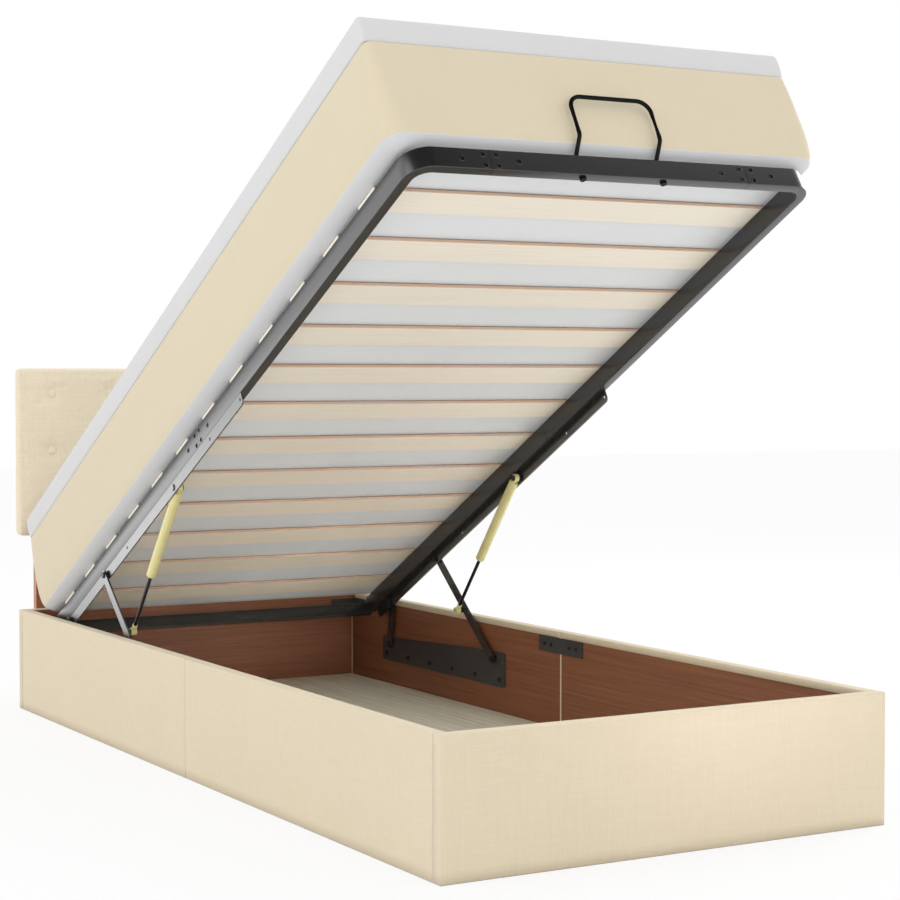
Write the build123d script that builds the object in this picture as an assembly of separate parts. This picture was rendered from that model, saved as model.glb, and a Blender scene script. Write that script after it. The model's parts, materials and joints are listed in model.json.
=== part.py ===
from build123d import *

import math
import os

# Ottoman bed, single size, with its mattress frame lifted off the storage base.
# X runs across the bed, +Y points to the head end and +Z up. The origin is at
# the middle of the floor that the base and headboard cover.
# All sizes are in millimetres. "Left" is the -X side.

# Mattress, which sets the size of the base, the frame and the headboard
mattress_width = 900.0
mattress_length = 2002.0
mattress_height = 206.0
mattress_head_reach = 4.0
mattress_corner_radius = 46.0
mattress_top_corner_radius = 24.0
mattress_bulge = 7.0
mattress_bulge_shares = (0.5, 1.0, 0.85, 0.35)
mattress_side_shares = (0.0, 0.2, 0.42, 0.78)
mattress_edge_tuck = 7.0
mattress_edge_shares = ((0.0, 1.0), (0.3, 0.3), (1.0, 0.0))
roll_height = 16.0
roll_tuck = 28.0
roll_shares = ((1.0, 0.0), (0.55, 0.2), (0.15, 0.55))
soft_gap = 0.4

# Topper
topper_thickness = 55.0
topper_head_overhang = 1.0
topper_foot_setback = 3.0
topper_corner_radius = 13.0
topper_bulge = 1.0
topper_edge_tuck = 8.0
topper_low_share = 0.3
topper_high_share = 0.1
topper_crown = 2.0
topper_crown_margin = 110.0

# Base
base_side_margin = 12.5
base_end_margin = 82.0
rail_height = 242.0
board_thickness = 22.0
cover_thickness = 1.5
cover_fold = 14.0
cover_hem = 1.0
cover_edge_radius = 3.0
seam_gap = 0.6

# Rail joiner plates and corner brackets
joiner_length = 177.0
joiner_height = 35.0
joiner_thickness = 2.5
joiner_gap = 1.0
joiner_screw_span = 127.0
joiner_inner_span = 74.0
screw_head_radius = 4.5
screw_head_height = 1.6
bracket_leg = 72.0
bracket_height = 20.0
bracket_thickness = 2.5
bracket_gap = 0.5
bracket_screw_share = 2 / 3

# Head batten and storage floor
head_batten_height = 36.0
head_batten_thickness = 18.0
floor_batten_width = 24.0
floor_batten_height = 22.0
floor_cross_count = 3
floor_board_thickness = 3.0
floor_gap = 1.0

# Headboard
headboard_inset = 1.0
headboard_bottom = 421.0
headboard_top = 830.0
leg_width = 60.0
leg_thickness = 20.0
leg_inset = 43.5
leg_reach = 190.0
leg_clearance = 0.3
pad_front = 6.0
pad_side = 7.0
pad_back = 2.0
pad_corner_radius = 9.0
pad_edge_radius = 2.0
pad_crown = 3.5
pad_crown_margin = 26.0
tuft_depth = 2.6
tuft_radius = 13.0
button_radius = 8.5
button_height = 3.2
button_chamfer_share = 0.35
button_columns = 6
button_rows = 3
button_side_margin = 86.5
button_pitch_z = 140.0
button_top_drop = 62.0
headboard_bolt_head_radius = 10.0
headboard_bolt_head_height = 3.0
headboard_bolt_rows = 2
headboard_bolt_rise = 70.0
headboard_bolt_pitch = 100.0

# Steel tube frame of the lifting platform
frame_inset = 25.0
frame_head_inset = 21.0
frame_foot_overhang = 4.0
tube_width = 20.0
tube_height = 40.0
tube_wall = 1.5
tube_corner_radius = 48.0
side_seam_setback = 25.5
foot_seam_inset = 155.0
sleeve_length = 150.0
sleeve_clearance = 0.2

# Hinge rail under each side tube
flange_height = 24.0
flange_thickness = 3.0
flange_foot_reach = 1222.0
flange_head_reach = 40.0
flange_corner_radius = 9.0
flange_hole_radius = 3.5
pivot_drop = 11.0
flange_spare_reaches = (1213.0, 1045.0, 526.0)

# Slats
slat_count = 12
slat_head_margin = 99.0
slat_foot_margin = 170.0
slat_width = 68.0
slat_thickness = 8.0
slat_inset = 2.0

# Wire loop that stops the mattress at the foot
wire_radius = 3.5
wire_width = 170.0
wire_seat = 4.5
wire_lean = 28.0
wire_rise = 26.0
wire_height = 81.0
wire_foot_radius = 7.0
wire_knee_radius = 14.0
wire_top_radius = 25.0
wire_hole_gap = 0.1
nut_radius = 6.5
nut_height = 5.0

# Lift mechanism. Pivot places are measured from the head panel's outer face.
open_angle = 28.7
platform_setback = 42.7482
platform_lift = 415.9102
arm_pivot_setback = 758.5
arm_pivot_height = 149.4
arm_frame_reach = 378.0
arm_width = 21.0
arm_thickness = 4.0
link_pivot_setback = 249.72
link_pivot_height = 130.0
link_frame_reach = 110.0
link_width = 24.0
link_thickness = 4.0
strut_frame_reach = 825.0
strut_pin_along = 165.0
strut_pin_drop = 6.0
strut_pin_radius = 5.5

hinge_plate_thickness = 3.0
hinge_plate_margin = 17.0
hinge_plate_drop = 45.0
hinge_plate_end = 46.0
hinge_bolt_radius = 5.5
hinge_bolt_height = 2.0
hinge_bolt_count = 6
pivot_radius = 4.0
pivot_clearance = 0.06
pivot_head_radius = 7.0
pivot_head_height = 2.2
washer_gap = 0.3
arm_setback = 4.0

cylinder_radius = 10.5
cylinder_share = 0.570357
cylinder_start = 12.0
cylinder_wall = 1.5
cylinder_cap = 10.0
cylinder_edge_radius = 1.5
strut_inset = 14.0
eye_radius = 9.0
eye_thickness = 10.0
eye_neck_radius = 4.6
rod_radius = 4.0
rod_clearance = 0.06
rod_in_cylinder = 40.0
piston_radius = 8.6
piston_height = 9.0
clevis_length = 20.0
clevis_radius = 8.5
clevis_thickness = 12.0
clevis_neck_radius = 5.5
open_pivot_gap = 0.6

# Overrun of every cut
overrun = 5.0

# Places worked out from the sizes above
base_width = mattress_width + 2 * base_side_margin
base_length = mattress_length + base_end_margin
panel_thickness = board_thickness + 2 * cover_thickness
overall_length = base_length + leg_thickness + pad_back
foot_y = -overall_length / 2
head_y = foot_y + base_length
half_width = base_width / 2
board_outer = half_width - cover_thickness
board_inner = board_outer - board_thickness
board_top = rail_height - cover_thickness
rail_start = foot_y + panel_thickness
rail_end = head_y - panel_thickness
rail_middle = (rail_start + rail_end) / 2
foot_board_inner = foot_y + cover_thickness + board_thickness
head_board_inner = head_y - cover_thickness - board_thickness
head_batten_inner = rail_end - head_batten_thickness
fold_inner = board_inner - cover_thickness
fold_bottom = rail_height - cover_fold
floor_top = floor_batten_height + floor_board_thickness
headboard_width = base_width - 2 * headboard_inset
leg_outer_offset = headboard_width / 2 - leg_inset
button_pitch_x = (headboard_width - 2 * button_side_margin) / (button_columns - 1)
frame_width = mattress_width - 2 * frame_inset
frame_side = frame_width / 2
tube_top_level = -mattress_height - slat_thickness
tube_bottom_level = tube_top_level - tube_height
pivot_level = tube_bottom_level - pivot_drop
frame_head_reach = mattress_head_reach + frame_head_inset
frame_foot_reach = mattress_head_reach + mattress_length + frame_foot_overhang
side_seam_reach = (frame_head_reach + frame_foot_reach) / 2 - side_seam_setback
foot_bar_length = frame_width - 2 * foot_seam_inset
slat_first_reach = frame_head_reach + slat_head_margin
slat_pitch = (frame_foot_reach - slat_foot_margin - slat_first_reach) / (slat_count - 1)
topper_head_reach = mattress_head_reach - topper_head_overhang
topper_length = mattress_length - topper_foot_setback + topper_head_overhang
strut_offset = frame_side - strut_inset
plate_inner = board_inner - hinge_plate_thickness
arm_outer = plate_inner - arm_setback
arm_inner = arm_outer - arm_thickness
link_inner = arm_outer - link_thickness


def box_between(x_span, y_span, z_span):
    """A box from its low and high value along each axis"""
    spans = (x_span, y_span, z_span)
    centre = [(low + high) / 2 for low, high in spans]
    size = [high - low for low, high in spans]
    return Pos(*centre) * Box(*size)


def span(side, inner, outer):
    """Low and high x of a stretch that is mirrored to the -X side when side is -1"""
    return (inner, outer) if side > 0 else (-outer, -inner)


def rod_along_x(radius, x_span, y, z):
    """A round bar along X"""
    low, high = x_span
    return Pos((low + high) / 2, y, z) * Rot(Y=90) * Cylinder(radius, high - low)


def turned(reach, level, angle):
    """Y and Z of a platform point, seen from the platform's own zero point"""
    cosine = math.cos(math.radians(angle))
    sine = math.sin(math.radians(angle))
    return (-reach * cosine + level * sine, reach * sine + level * cosine)


def polar(y, z, length, angle):
    """The Y and Z reached from a point along a direction above +Y"""
    return (y + length * math.cos(math.radians(angle)), z + length * math.sin(math.radians(angle)))


def direction(start, end):
    """Angle above +Y of the line from one Y, Z point to another"""
    return math.degrees(math.atan2(end[1] - start[1], end[0] - start[0]))


# Pivot places at rest, with the platform lifted
arm_pivot = (head_y - arm_pivot_setback, arm_pivot_height)
link_pivot = (head_y - link_pivot_setback, link_pivot_height)
platform_zero = (head_y - platform_setback, platform_lift)


def platform_point(reach, level):
    """Y and Z of a platform point at rest: reach from the head end, level above the mattress top"""
    y, z = turned(reach, level, open_angle)
    return (platform_zero[0] + y, platform_zero[1] + z)


arm_top = platform_point(arm_frame_reach, pivot_level)
arm_length = math.dist(arm_pivot, arm_top)
arm_open_angle = direction(arm_pivot, arm_top)
link_top = platform_point(link_frame_reach, pivot_level)
strut_top = platform_point(strut_frame_reach, pivot_level)
strut_pin = polar(*polar(*arm_pivot, strut_pin_along, arm_open_angle), strut_pin_drop, arm_open_angle - 90)
link_angle = direction(link_pivot, link_top)
strut_angle = direction(strut_top, strut_pin)
strut_length = math.dist(strut_top, strut_pin)
cylinder_length = strut_length * cylinder_share


def on_platform(shape):
    """Moves a shape drawn with Y = -reach and Z = level onto the lifted platform"""
    return Pos(0, *platform_zero) * Rot(X=-open_angle) * shape


def on_line(shape, start, angle):
    """Moves a shape drawn along +Y onto a line that starts at a Y, Z point"""
    return Pos(0, *start) * Rot(X=angle) * shape


def side_board(side, start, end):
    """One half of a side rail's board"""
    return box_between(span(side, board_inner, board_outer), (start, end), (0, board_top))


def side_cover(side, start, end):
    """Fabric skin over the outer face, the top and a fold down the inner face"""
    skin = box_between((fold_inner, half_width), (start, end), (cover_hem, rail_height))
    rim = skin.edges().filter_by(Axis.Y).group_by(Axis.Z)[-1]
    skin = fillet(rim, cover_edge_radius)
    core_span = (start - overrun, end + overrun)
    skin -= box_between((board_inner, board_outer), core_span, (-overrun, board_top))
    skin -= box_between((fold_inner - overrun, board_inner), core_span, (-overrun, fold_bottom))
    return skin if side > 0 else skin.mirror(Plane.YZ)


def end_board(inner_y, outer_y):
    """Foot or head board, as wide as the base inside its cover"""
    low, high = sorted((inner_y, outer_y))
    return box_between((-board_outer, board_outer), (low, high), (0, board_top))


def end_cover(outer_y, inward):
    """Fabric shell over an end board: outer face, ends, top and a fold inside"""
    inner_y = outer_y + inward * panel_thickness
    low, high = sorted((outer_y, inner_y))
    shell = box_between((-half_width, half_width), (low, high), (cover_hem, rail_height))
    rim = shell.edges().filter_by(Axis.X).group_by(Axis.Z)[-1]
    corners = shell.edges().filter_by(Axis.Z)
    shell = fillet(rim + corners, cover_edge_radius)
    board_low, board_high = low + cover_thickness, high - cover_thickness
    shell -= box_between((-board_outer, board_outer), (board_low, board_high), (-overrun, board_top))
    inside_low, inside_high = sorted((inner_y - inward * cover_thickness, inner_y + inward * overrun))
    shell -= box_between((-board_outer, board_outer), (inside_low, inside_high), (-overrun, fold_bottom))
    return shell


def joiner_plate(side):
    """Steel plate across the seam of a side rail"""
    x_span = span(side, board_inner - joiner_thickness, board_inner)
    top = fold_bottom - joiner_gap
    ends = (rail_middle - joiner_length / 2, rail_middle + joiner_length / 2)
    return box_between(x_span, ends, (top - joiner_height, top))


def corner_bracket(side, inner_y, inward):
    """Steel angle between a side rail and an end panel"""
    top = fold_bottom - bracket_gap
    z_span = (top - bracket_height, top)
    along = sorted((inner_y, inner_y + inward * bracket_leg))
    thin = sorted((inner_y, inner_y + inward * bracket_thickness))
    leg = box_between(span(side, board_inner - bracket_thickness, board_inner), along, z_span)
    return leg + box_between(span(side, board_inner - bracket_leg, board_inner), thin, z_span)


def corner_brackets():
    """Two brackets at the foot panel and two on the head batten"""
    places = [(side, foot_board_inner, 1) for side in (-1, 1)]
    places += [(side, head_batten_inner, -1) for side in (-1, 1)]
    return Compound([corner_bracket(*place) for place in places])


def inside_screw(side, y, z, seat):
    """Screw head on an inner face of a side rail"""
    return rod_along_x(screw_head_radius, span(side, seat - screw_head_height, seat), y, z)


def board_screws():
    """Heads of the screws in the joiner plates and in the brackets' side legs"""
    heads = []
    plate_z = fold_bottom - joiner_gap - joiner_height / 2
    bracket_z = fold_bottom - bracket_gap - bracket_height / 2
    for side in (-1, 1):
        for pitch in (joiner_screw_span, joiner_inner_span):
            for end in (-1, 1):
                y = rail_middle + end * pitch / 2
                heads.append(inside_screw(side, y, plate_z, board_inner - joiner_thickness))
        for inner_y, inward in ((foot_board_inner, 1), (head_batten_inner, -1)):
            y = inner_y + inward * bracket_leg * bracket_screw_share
            heads.append(inside_screw(side, y, bracket_z, board_inner - bracket_thickness))
    return Compound(heads)


def head_batten():
    """Batten between the side covers' folds, pressed on the head cover's fold"""
    z_span = (board_top - head_batten_height, board_top)
    return box_between((-fold_inner, fold_inner), (head_batten_inner, rail_end), z_span)


def floor_side_batten(side):
    """Batten along the bottom of a side rail's inner face"""
    x_span = span(side, board_inner - floor_batten_width, board_inner)
    return box_between(x_span, (foot_board_inner, head_board_inner), (0, floor_batten_height))


def floor_cross_battens():
    """Battens across the storage floor, between the side battens"""
    reach = board_inner - floor_batten_width
    pitch = (head_board_inner - foot_board_inner) / (floor_cross_count + 1)
    battens = []
    for number in range(floor_cross_count):
        middle = foot_board_inner + (number + 1) * pitch
        y_span = (middle - floor_batten_width / 2, middle + floor_batten_width / 2)
        battens.append(box_between((-reach, reach), y_span, (0, floor_batten_height)))
    return Compound(battens)


def floor_board(start, end):
    """Thin storage floor board"""
    reach = board_inner - floor_gap
    return box_between((-reach, reach), (start, end), (floor_batten_height, floor_top))


def headboard_leg(side):
    """Board from the floor up into the headboard's core"""
    x_span = span(side, leg_outer_offset - leg_width, leg_outer_offset)
    return box_between(x_span, (head_y, head_y + leg_thickness), (0, headboard_bottom + leg_reach))


def headboard_core():
    """Board inside the pad, notched for the legs"""
    half = headboard_width / 2 - pad_side
    z_span = (headboard_bottom + pad_side, headboard_top - pad_side)
    core = box_between((-half, half), (head_y, head_y + leg_thickness), z_span)
    notch_y = (head_y - overrun, head_y + leg_thickness + overrun)
    for side in (-1, 1):
        inner = leg_outer_offset - leg_width - leg_clearance
        x_span = span(side, inner, leg_outer_offset + leg_clearance)
        notch_top = headboard_bottom + leg_reach + leg_clearance
        core -= box_between(x_span, notch_y, (headboard_bottom - overrun, notch_top))
    return core


def button_places():
    """X and Z of the sewn buttons"""
    places = []
    for row in range(button_rows):
        z = headboard_top - button_top_drop - row * button_pitch_z
        for column in range(button_columns):
            x = (column - (button_columns - 1) / 2) * button_pitch_x
            places.append((x, z))
    return places


def headboard_pad():
    """Padded cover round the core: crowned front, rounded edges and tufts at the buttons"""
    half = headboard_width / 2
    crown_start = head_y - pad_front + pad_crown
    back = head_y + leg_thickness + pad_back
    pad = box_between((-half, half), (crown_start, back), (headboard_bottom, headboard_top))
    pad = fillet(pad.edges().filter_by(Axis.Y), pad_corner_radius)
    front_edges = pad.faces().sort_by(Axis.Y)[0].edges()
    pad = fillet(front_edges, pad_edge_radius)
    pad += pad_crown_form(crown_start)
    core_half = half - pad_side
    core_z = (headboard_bottom + pad_side, headboard_top - pad_side)
    pad -= box_between((-core_half, core_half), (head_y, head_y + leg_thickness), core_z)
    for side in (-1, 1):
        inner = leg_outer_offset - leg_width - leg_clearance
        x_span = span(side, inner, leg_outer_offset + leg_clearance)
        slot_z = (headboard_bottom - overrun, headboard_bottom + pad_side + overrun)
        pad -= box_between(x_span, (head_y, head_y + leg_thickness), slot_z)
    front = head_y - pad_front
    for x, z in button_places():
        dent = Cone(tuft_radius, button_radius, tuft_depth)
        pad -= Pos(x, front + tuft_depth / 2, z) * Rot(X=-90) * dent
    return pad


def pad_crown_form(crown_start):
    """Raised middle of the pad's front, sloping down to its margin"""
    sections = []
    for margin, y in ((pad_corner_radius, crown_start), (pad_crown_margin, crown_start - pad_crown)):
        width = headboard_width - 2 * margin
        height = headboard_top - headboard_bottom - 2 * margin
        middle = (headboard_top + headboard_bottom) / 2
        plane = Plane(origin=(0, y, middle), x_dir=(1, 0, 0), z_dir=(0, -1, 0))
        sections.append(plane * RectangleRounded(width, height, pad_corner_radius))
    return loft(sections, ruled=True)


def headboard_buttons():
    """Domed buttons seated in the tufts"""
    seat = head_y - pad_front + tuft_depth
    body = Cylinder(button_radius, button_height)
    body = chamfer(body.edges().sort_by(Axis.Z)[-1], button_height * button_chamfer_share)
    buttons = []
    for x, z in button_places():
        buttons.append(Pos(x, seat - button_height / 2, z) * Rot(X=90) * body)
    return Compound(buttons)


def headboard_bolts():
    """Bolts through each leg into the head panel"""
    bolts = []
    back = head_y + leg_thickness
    for side in (-1, 1):
        x = side * (leg_outer_offset - leg_width / 2)
        for number in range(headboard_bolt_rows):
            z = headboard_bolt_rise + number * headboard_bolt_pitch
            place = Pos(x, back + headboard_bolt_head_height / 2, z) * Rot(X=90)
            bolts.append(place * Cylinder(headboard_bolt_head_radius, headboard_bolt_head_height))
    return Compound(bolts)


def tube(path_points, radii, level):
    """Hollow tube along a flat path of reach and X points, with rounded corners"""
    points = [(x, -reach, level) for x, reach in path_points]
    path = FilletPolyline(*points, radius=radii) if len(points) > 2 else Line(*points)
    profile = Plane(origin=path @ 0, x_dir=(0, 0, 1), z_dir=path % 0)
    outer = sweep(profile * Rectangle(tube_height, tube_width), path=path)
    bore = Rectangle(tube_height - 2 * tube_wall, tube_width - 2 * tube_wall)
    return outer - sweep(profile * bore, path=path)


tube_middle_level = tube_top_level - tube_height / 2
tube_line = frame_side - tube_width / 2
foot_line_reach = frame_foot_reach - tube_width / 2
head_line_reach = frame_head_reach + tube_width / 2
seam_x = foot_bar_length / 2


def frame_foot_bar():
    """Straight middle of the foot end"""
    return tube([(-seam_x, foot_line_reach), (seam_x, foot_line_reach)], None, tube_middle_level)


def frame_corner(side):
    """Bent tube round a foot corner"""
    points = [(side * seam_x, foot_line_reach), (side * tube_line, foot_line_reach)]
    points.append((side * tube_line, side_seam_reach))
    return tube(points, tube_corner_radius - tube_width / 2, tube_middle_level)


def frame_side_tube(side):
    """Straight side tube from the seam to the head end"""
    points = [(side * tube_line, side_seam_reach), (side * tube_line, frame_head_reach)]
    return tube(points, None, tube_middle_level)


def frame_head_bar():
    """Cross tube between the side tubes at the head end"""
    reach = frame_side - tube_width
    return tube([(-reach, head_line_reach), (reach, head_line_reach)], None, tube_middle_level)


def frame_sleeves():
    """Inner sleeves that join the tube lengths at the four seams"""
    wide = tube_width - 2 * tube_wall - 2 * sleeve_clearance
    high = tube_height - 2 * tube_wall - 2 * sleeve_clearance
    sleeves = []
    for side in (-1, 1):
        place = Pos(side * tube_line, -side_seam_reach, tube_middle_level)
        sleeves.append(place * Box(wide, sleeve_length, high))
        place = Pos(side * seam_x, -foot_line_reach, tube_middle_level)
        sleeves.append(place * Box(sleeve_length, wide, high))
    return Compound(sleeves)


def hinge_rail(side):
    """Flange under a side tube that carries the pivots"""
    low, high = tube_bottom_level - flange_height, tube_bottom_level
    x_span = span(side, frame_side - flange_thickness, frame_side)
    rail = box_between(x_span, (-flange_foot_reach, -flange_head_reach), (low, high))
    rail = fillet(rail.edges().filter_by(Axis.X).group_by(Axis.Z)[0], flange_corner_radius)
    wide_span = (x_span[0] - overrun, x_span[1] + overrun)
    for reach in flange_spare_reaches:
        rail -= rod_along_x(flange_hole_radius, wide_span, -reach, pivot_level)
    for reach in (arm_frame_reach, link_frame_reach, strut_frame_reach):
        hole = pivot_radius + pivot_clearance
        rail -= rod_along_x(hole, wide_span, -reach, pivot_level)
    return rail


def slats():
    """Slats across the frame's top"""
    length = frame_width - 2 * slat_inset
    level = tube_top_level + slat_thickness / 2
    boards = []
    for number in range(slat_count):
        reach = slat_first_reach + number * slat_pitch
        boards.append(Pos(0, -reach, level) * Box(length, slat_width, slat_thickness))
    return Compound(boards)


def mattress_stop():
    """Bent wire loop that rises from the foot bar in front of the mattress"""
    half = wire_width / 2
    bottom = tube_bottom_level - nut_height
    out = foot_line_reach + wire_lean
    low = tube_top_level + wire_seat
    knee = low + wire_rise
    top = knee + wire_height
    points = [(half, foot_line_reach, bottom), (half, foot_line_reach, low), (half, out, knee), (half, out, top)]
    points += [(-x, reach, level) for x, reach, level in reversed(points)]
    radii = [wire_foot_radius, wire_knee_radius, wire_top_radius]
    path = FilletPolyline(*[(x, -reach, level) for x, reach, level in points], radius=radii + radii[::-1])
    profile = Plane(origin=path @ 0, z_dir=path % 0)
    return sweep(profile * Circle(wire_radius), path=path)


def wire_hole(x):
    """Hole through the foot bar for one end of the wire loop"""
    height = tube_height + 2 * overrun
    hole = Cylinder(wire_radius + wire_hole_gap, height)
    return Pos(x, -foot_line_reach, tube_middle_level) * hole


def stop_nuts():
    """Nuts that hold the wire loop under the foot bar"""
    nuts = []
    for side in (-1, 1):
        nut = extrude(RegularPolygon(nut_radius, 6), nut_height)
        nut -= Pos(0, 0, nut_height / 2) * Cylinder(wire_radius + wire_hole_gap, nut_height + overrun)
        place = Pos(side * wire_width / 2, -foot_line_reach, 0)
        nuts.append(place * Pos(0, 0, tube_bottom_level - nut_height) * nut)
    return Compound(nuts)


def soft_block(width, length, head_reach, stations):
    """Cushion form: rounded outlines, each with its inset, level and corner, lofted together"""
    middle = -(head_reach + length / 2)
    sections = []
    for inset, level, corner in stations:
        outline = RectangleRounded(width - 2 * inset, length - 2 * inset, corner - min(inset, corner / 2))
        sections.append(Pos(0, middle, level) * outline)
    return loft(sections, ruled=True)


def mattress():
    """Foam mattress: rolled bottom edge, sides that swell and a drawn-in top edge"""
    bottom = -mattress_height + soft_gap
    top = -soft_gap
    roll_top = bottom + roll_height
    stations = []
    for inset_share, rise_share in roll_shares:
        stations.append((roll_tuck * inset_share, bottom + roll_height * rise_share, mattress_corner_radius))
    for bulge_share, side_share in zip(mattress_bulge_shares, mattress_side_shares):
        corner = mattress_corner_radius + (mattress_top_corner_radius - mattress_corner_radius) * side_share
        stations.append((-mattress_bulge * bulge_share, roll_top + (top - roll_top) * side_share, corner))
    for inset_share, drop_share in mattress_edge_shares:
        stations.append((mattress_edge_tuck * inset_share, top - mattress_edge_tuck * drop_share,
                         mattress_top_corner_radius))
    return soft_block(mattress_width, mattress_length, mattress_head_reach, stations)


def topper():
    """Thin topper with rounded edges and a crowned top"""
    tuck = topper_edge_tuck
    outline = [(tuck, 0),
               (tuck * topper_low_share, tuck * topper_high_share),
               (0, tuck / 2),
               (-topper_bulge, topper_thickness / 2),
               (0, topper_thickness - tuck),
               (tuck * topper_low_share, topper_thickness - tuck * topper_low_share),
               (tuck, topper_thickness - topper_crown),
               (topper_crown_margin, topper_thickness)]
    stations = [(inset, level, topper_corner_radius) for inset, level in outline]
    return soft_block(mattress_width, topper_length, topper_head_reach, stations)


def flat_bar(length, width, thickness, holes):
    """Flat bar with round ends along +Y from its first hole, its inner face at X = 0"""
    bar = Pos(thickness / 2, length / 2, 0) * Box(thickness, length, width)
    for y in (0, length):
        bar += rod_along_x(width / 2, (0, thickness), y, 0)
    for y in holes:
        bar -= rod_along_x(pivot_radius + pivot_clearance, (-overrun, thickness + overrun), y, 0)
    return bar


def front_arm(side):
    """Flat bar from the hinge plate to the hinge rail, with the strut's stud"""
    bar = flat_bar(arm_length, arm_width, arm_thickness, (0, arm_length))
    stud_span = (strut_offset + clevis_thickness / 2 + open_pivot_gap - arm_inner, 0)
    stud = rod_along_x(strut_pin_radius, stud_span, strut_pin_along, -strut_pin_drop)
    arm = Pos(arm_inner, 0, 0) * (bar + stud)
    arm = on_line(arm, arm_pivot, arm_open_angle)
    return arm if side > 0 else arm.mirror(Plane.YZ)


def rear_link(side):
    """Short link near the head end, out of sight below the rail"""
    length = math.dist(link_pivot, link_top)
    link = flat_bar(length, link_width, link_thickness, (0,))
    link = on_line(Pos(link_inner, 0, 0) * link, link_pivot, link_angle)
    return link if side > 0 else link.mirror(Plane.YZ)


def hinge_plate(side):
    """Steel plate on the side rail that carries both pivots of one side"""
    arm_y, arm_z = arm_pivot
    link_y, link_z = link_pivot
    bottom = min(arm_z, link_z) - hinge_plate_drop
    outline = Polyline((arm_y - hinge_plate_end, bottom), (link_y + hinge_plate_end, bottom),
                       (link_y + hinge_plate_end, link_z + hinge_plate_margin),
                       (link_y - hinge_plate_end, link_z + hinge_plate_margin),
                       (arm_y + hinge_plate_end, arm_z + hinge_plate_margin),
                       (arm_y - hinge_plate_end, arm_z + hinge_plate_margin), close=True)
    face = fillet(make_face(outline).vertices(), hinge_plate_margin / 2)
    plate = extrude(Plane.YZ * face, hinge_plate_thickness)
    plate = Pos(plate_inner, 0, 0) * plate
    return plate if side > 0 else plate.mirror(Plane.YZ)


def hinge_plate_bolts():
    """Bolts that hold the hinge plates to the rails"""
    bottom = min(arm_pivot[1], link_pivot[1]) - hinge_plate_drop
    z = bottom + hinge_plate_margin
    start = arm_pivot[0] - hinge_plate_end / 2
    pitch = (link_pivot[0] + hinge_plate_end / 2 - start) / (hinge_bolt_count - 1)
    heads = []
    for side in (-1, 1):
        x_span = span(side, plate_inner - hinge_bolt_height, plate_inner)
        for number in range(hinge_bolt_count):
            heads.append(rod_along_x(hinge_bolt_radius, x_span, start + number * pitch, z))
    return Compound(heads)


def base_pivots():
    """Studs on the hinge plates: collar, shank and head of each fixed pivot"""
    studs = []
    for side in (-1, 1):
        for (y, z), inner in ((arm_pivot, arm_inner), (link_pivot, link_inner)):
            head_out = inner - washer_gap
            stud = rod_along_x(pivot_radius, span(side, head_out, plate_inner), y, z)
            collar = span(side, arm_outer + washer_gap, plate_inner)
            stud += rod_along_x(pivot_head_radius, collar, y, z)
            head = span(side, head_out - pivot_head_height, head_out)
            studs.append(stud + rod_along_x(pivot_head_radius, head, y, z))
    return Compound(studs)


def rail_bolt(side, reach, shank, *heads):
    """One bolt across a hinge rail: its shank, and the wider stretches that are its heads and collars"""
    bolt = rod_along_x(pivot_radius, span(side, *shank), -reach, pivot_level)
    for head in heads:
        bolt += rod_along_x(pivot_head_radius, span(side, *head), -reach, pivot_level)
    return bolt


def platform_pivots():
    """Bolts in the hinge rails: front arm pivot, strut pivot and the rear link's head"""
    rail_inner = frame_side - flange_thickness
    nut = (rail_inner - nut_height, rail_inner)
    arm_head = arm_outer + washer_gap
    strut_inner = strut_offset - eye_thickness / 2 - washer_gap
    strut_outer = strut_offset + eye_thickness / 2 + washer_gap
    bolts = []
    for side in (-1, 1):
        bolts.append(rail_bolt(side, arm_frame_reach, (rail_inner, arm_head), nut,
                               (frame_side, arm_inner - washer_gap),
                               (arm_head, arm_head + pivot_head_height)))
        bolts.append(rail_bolt(side, strut_frame_reach, (strut_inner, frame_side),
                               (frame_side, frame_side + pivot_head_height),
                               (strut_inner - pivot_head_height, strut_inner),
                               (strut_outer, rail_inner)))
        bolts.append(rail_bolt(side, link_frame_reach, (rail_inner, frame_side), nut,
                               (frame_side, link_inner - open_pivot_gap)))
    return Compound(bolts)


def round_along_y(radius, start, end):
    """A round bar along Y"""
    return Pos(0, (start + end) / 2, 0) * Rot(X=90) * Cylinder(radius, end - start)


def strut_cylinder(side):
    """Gas strut cylinder with its eye on the hinge rail's bolt"""
    end = cylinder_start + cylinder_length
    body = round_along_y(cylinder_radius, cylinder_start, end)
    body = fillet(body.edges().filter_by(GeomType.CIRCLE), cylinder_edge_radius)
    body += rod_along_x(eye_radius, (-eye_thickness / 2, eye_thickness / 2), 0, 0)
    body += round_along_y(eye_neck_radius, eye_radius / 2, cylinder_start + cylinder_edge_radius)
    bore = cylinder_radius - cylinder_wall
    body -= round_along_y(bore, cylinder_start + cylinder_cap, end - cylinder_cap)
    body -= round_along_y(rod_radius + rod_clearance, end - cylinder_cap - overrun, end + overrun)
    eye_hole = (-eye_thickness, eye_thickness)
    body -= rod_along_x(pivot_radius + pivot_clearance, eye_hole, 0, 0)
    return on_line(Pos(side * strut_offset, 0, 0) * body, strut_top, strut_angle)


def strut_rod(side):
    """Piston rod, with its piston inside the cylinder"""
    end = cylinder_start + cylinder_length
    start = end - rod_in_cylinder
    body = round_along_y(rod_radius, start, strut_length - clevis_length)
    body += round_along_y(piston_radius, start - piston_height, start)
    return on_line(Pos(side * strut_offset, 0, 0) * body, strut_top, strut_angle)


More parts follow.
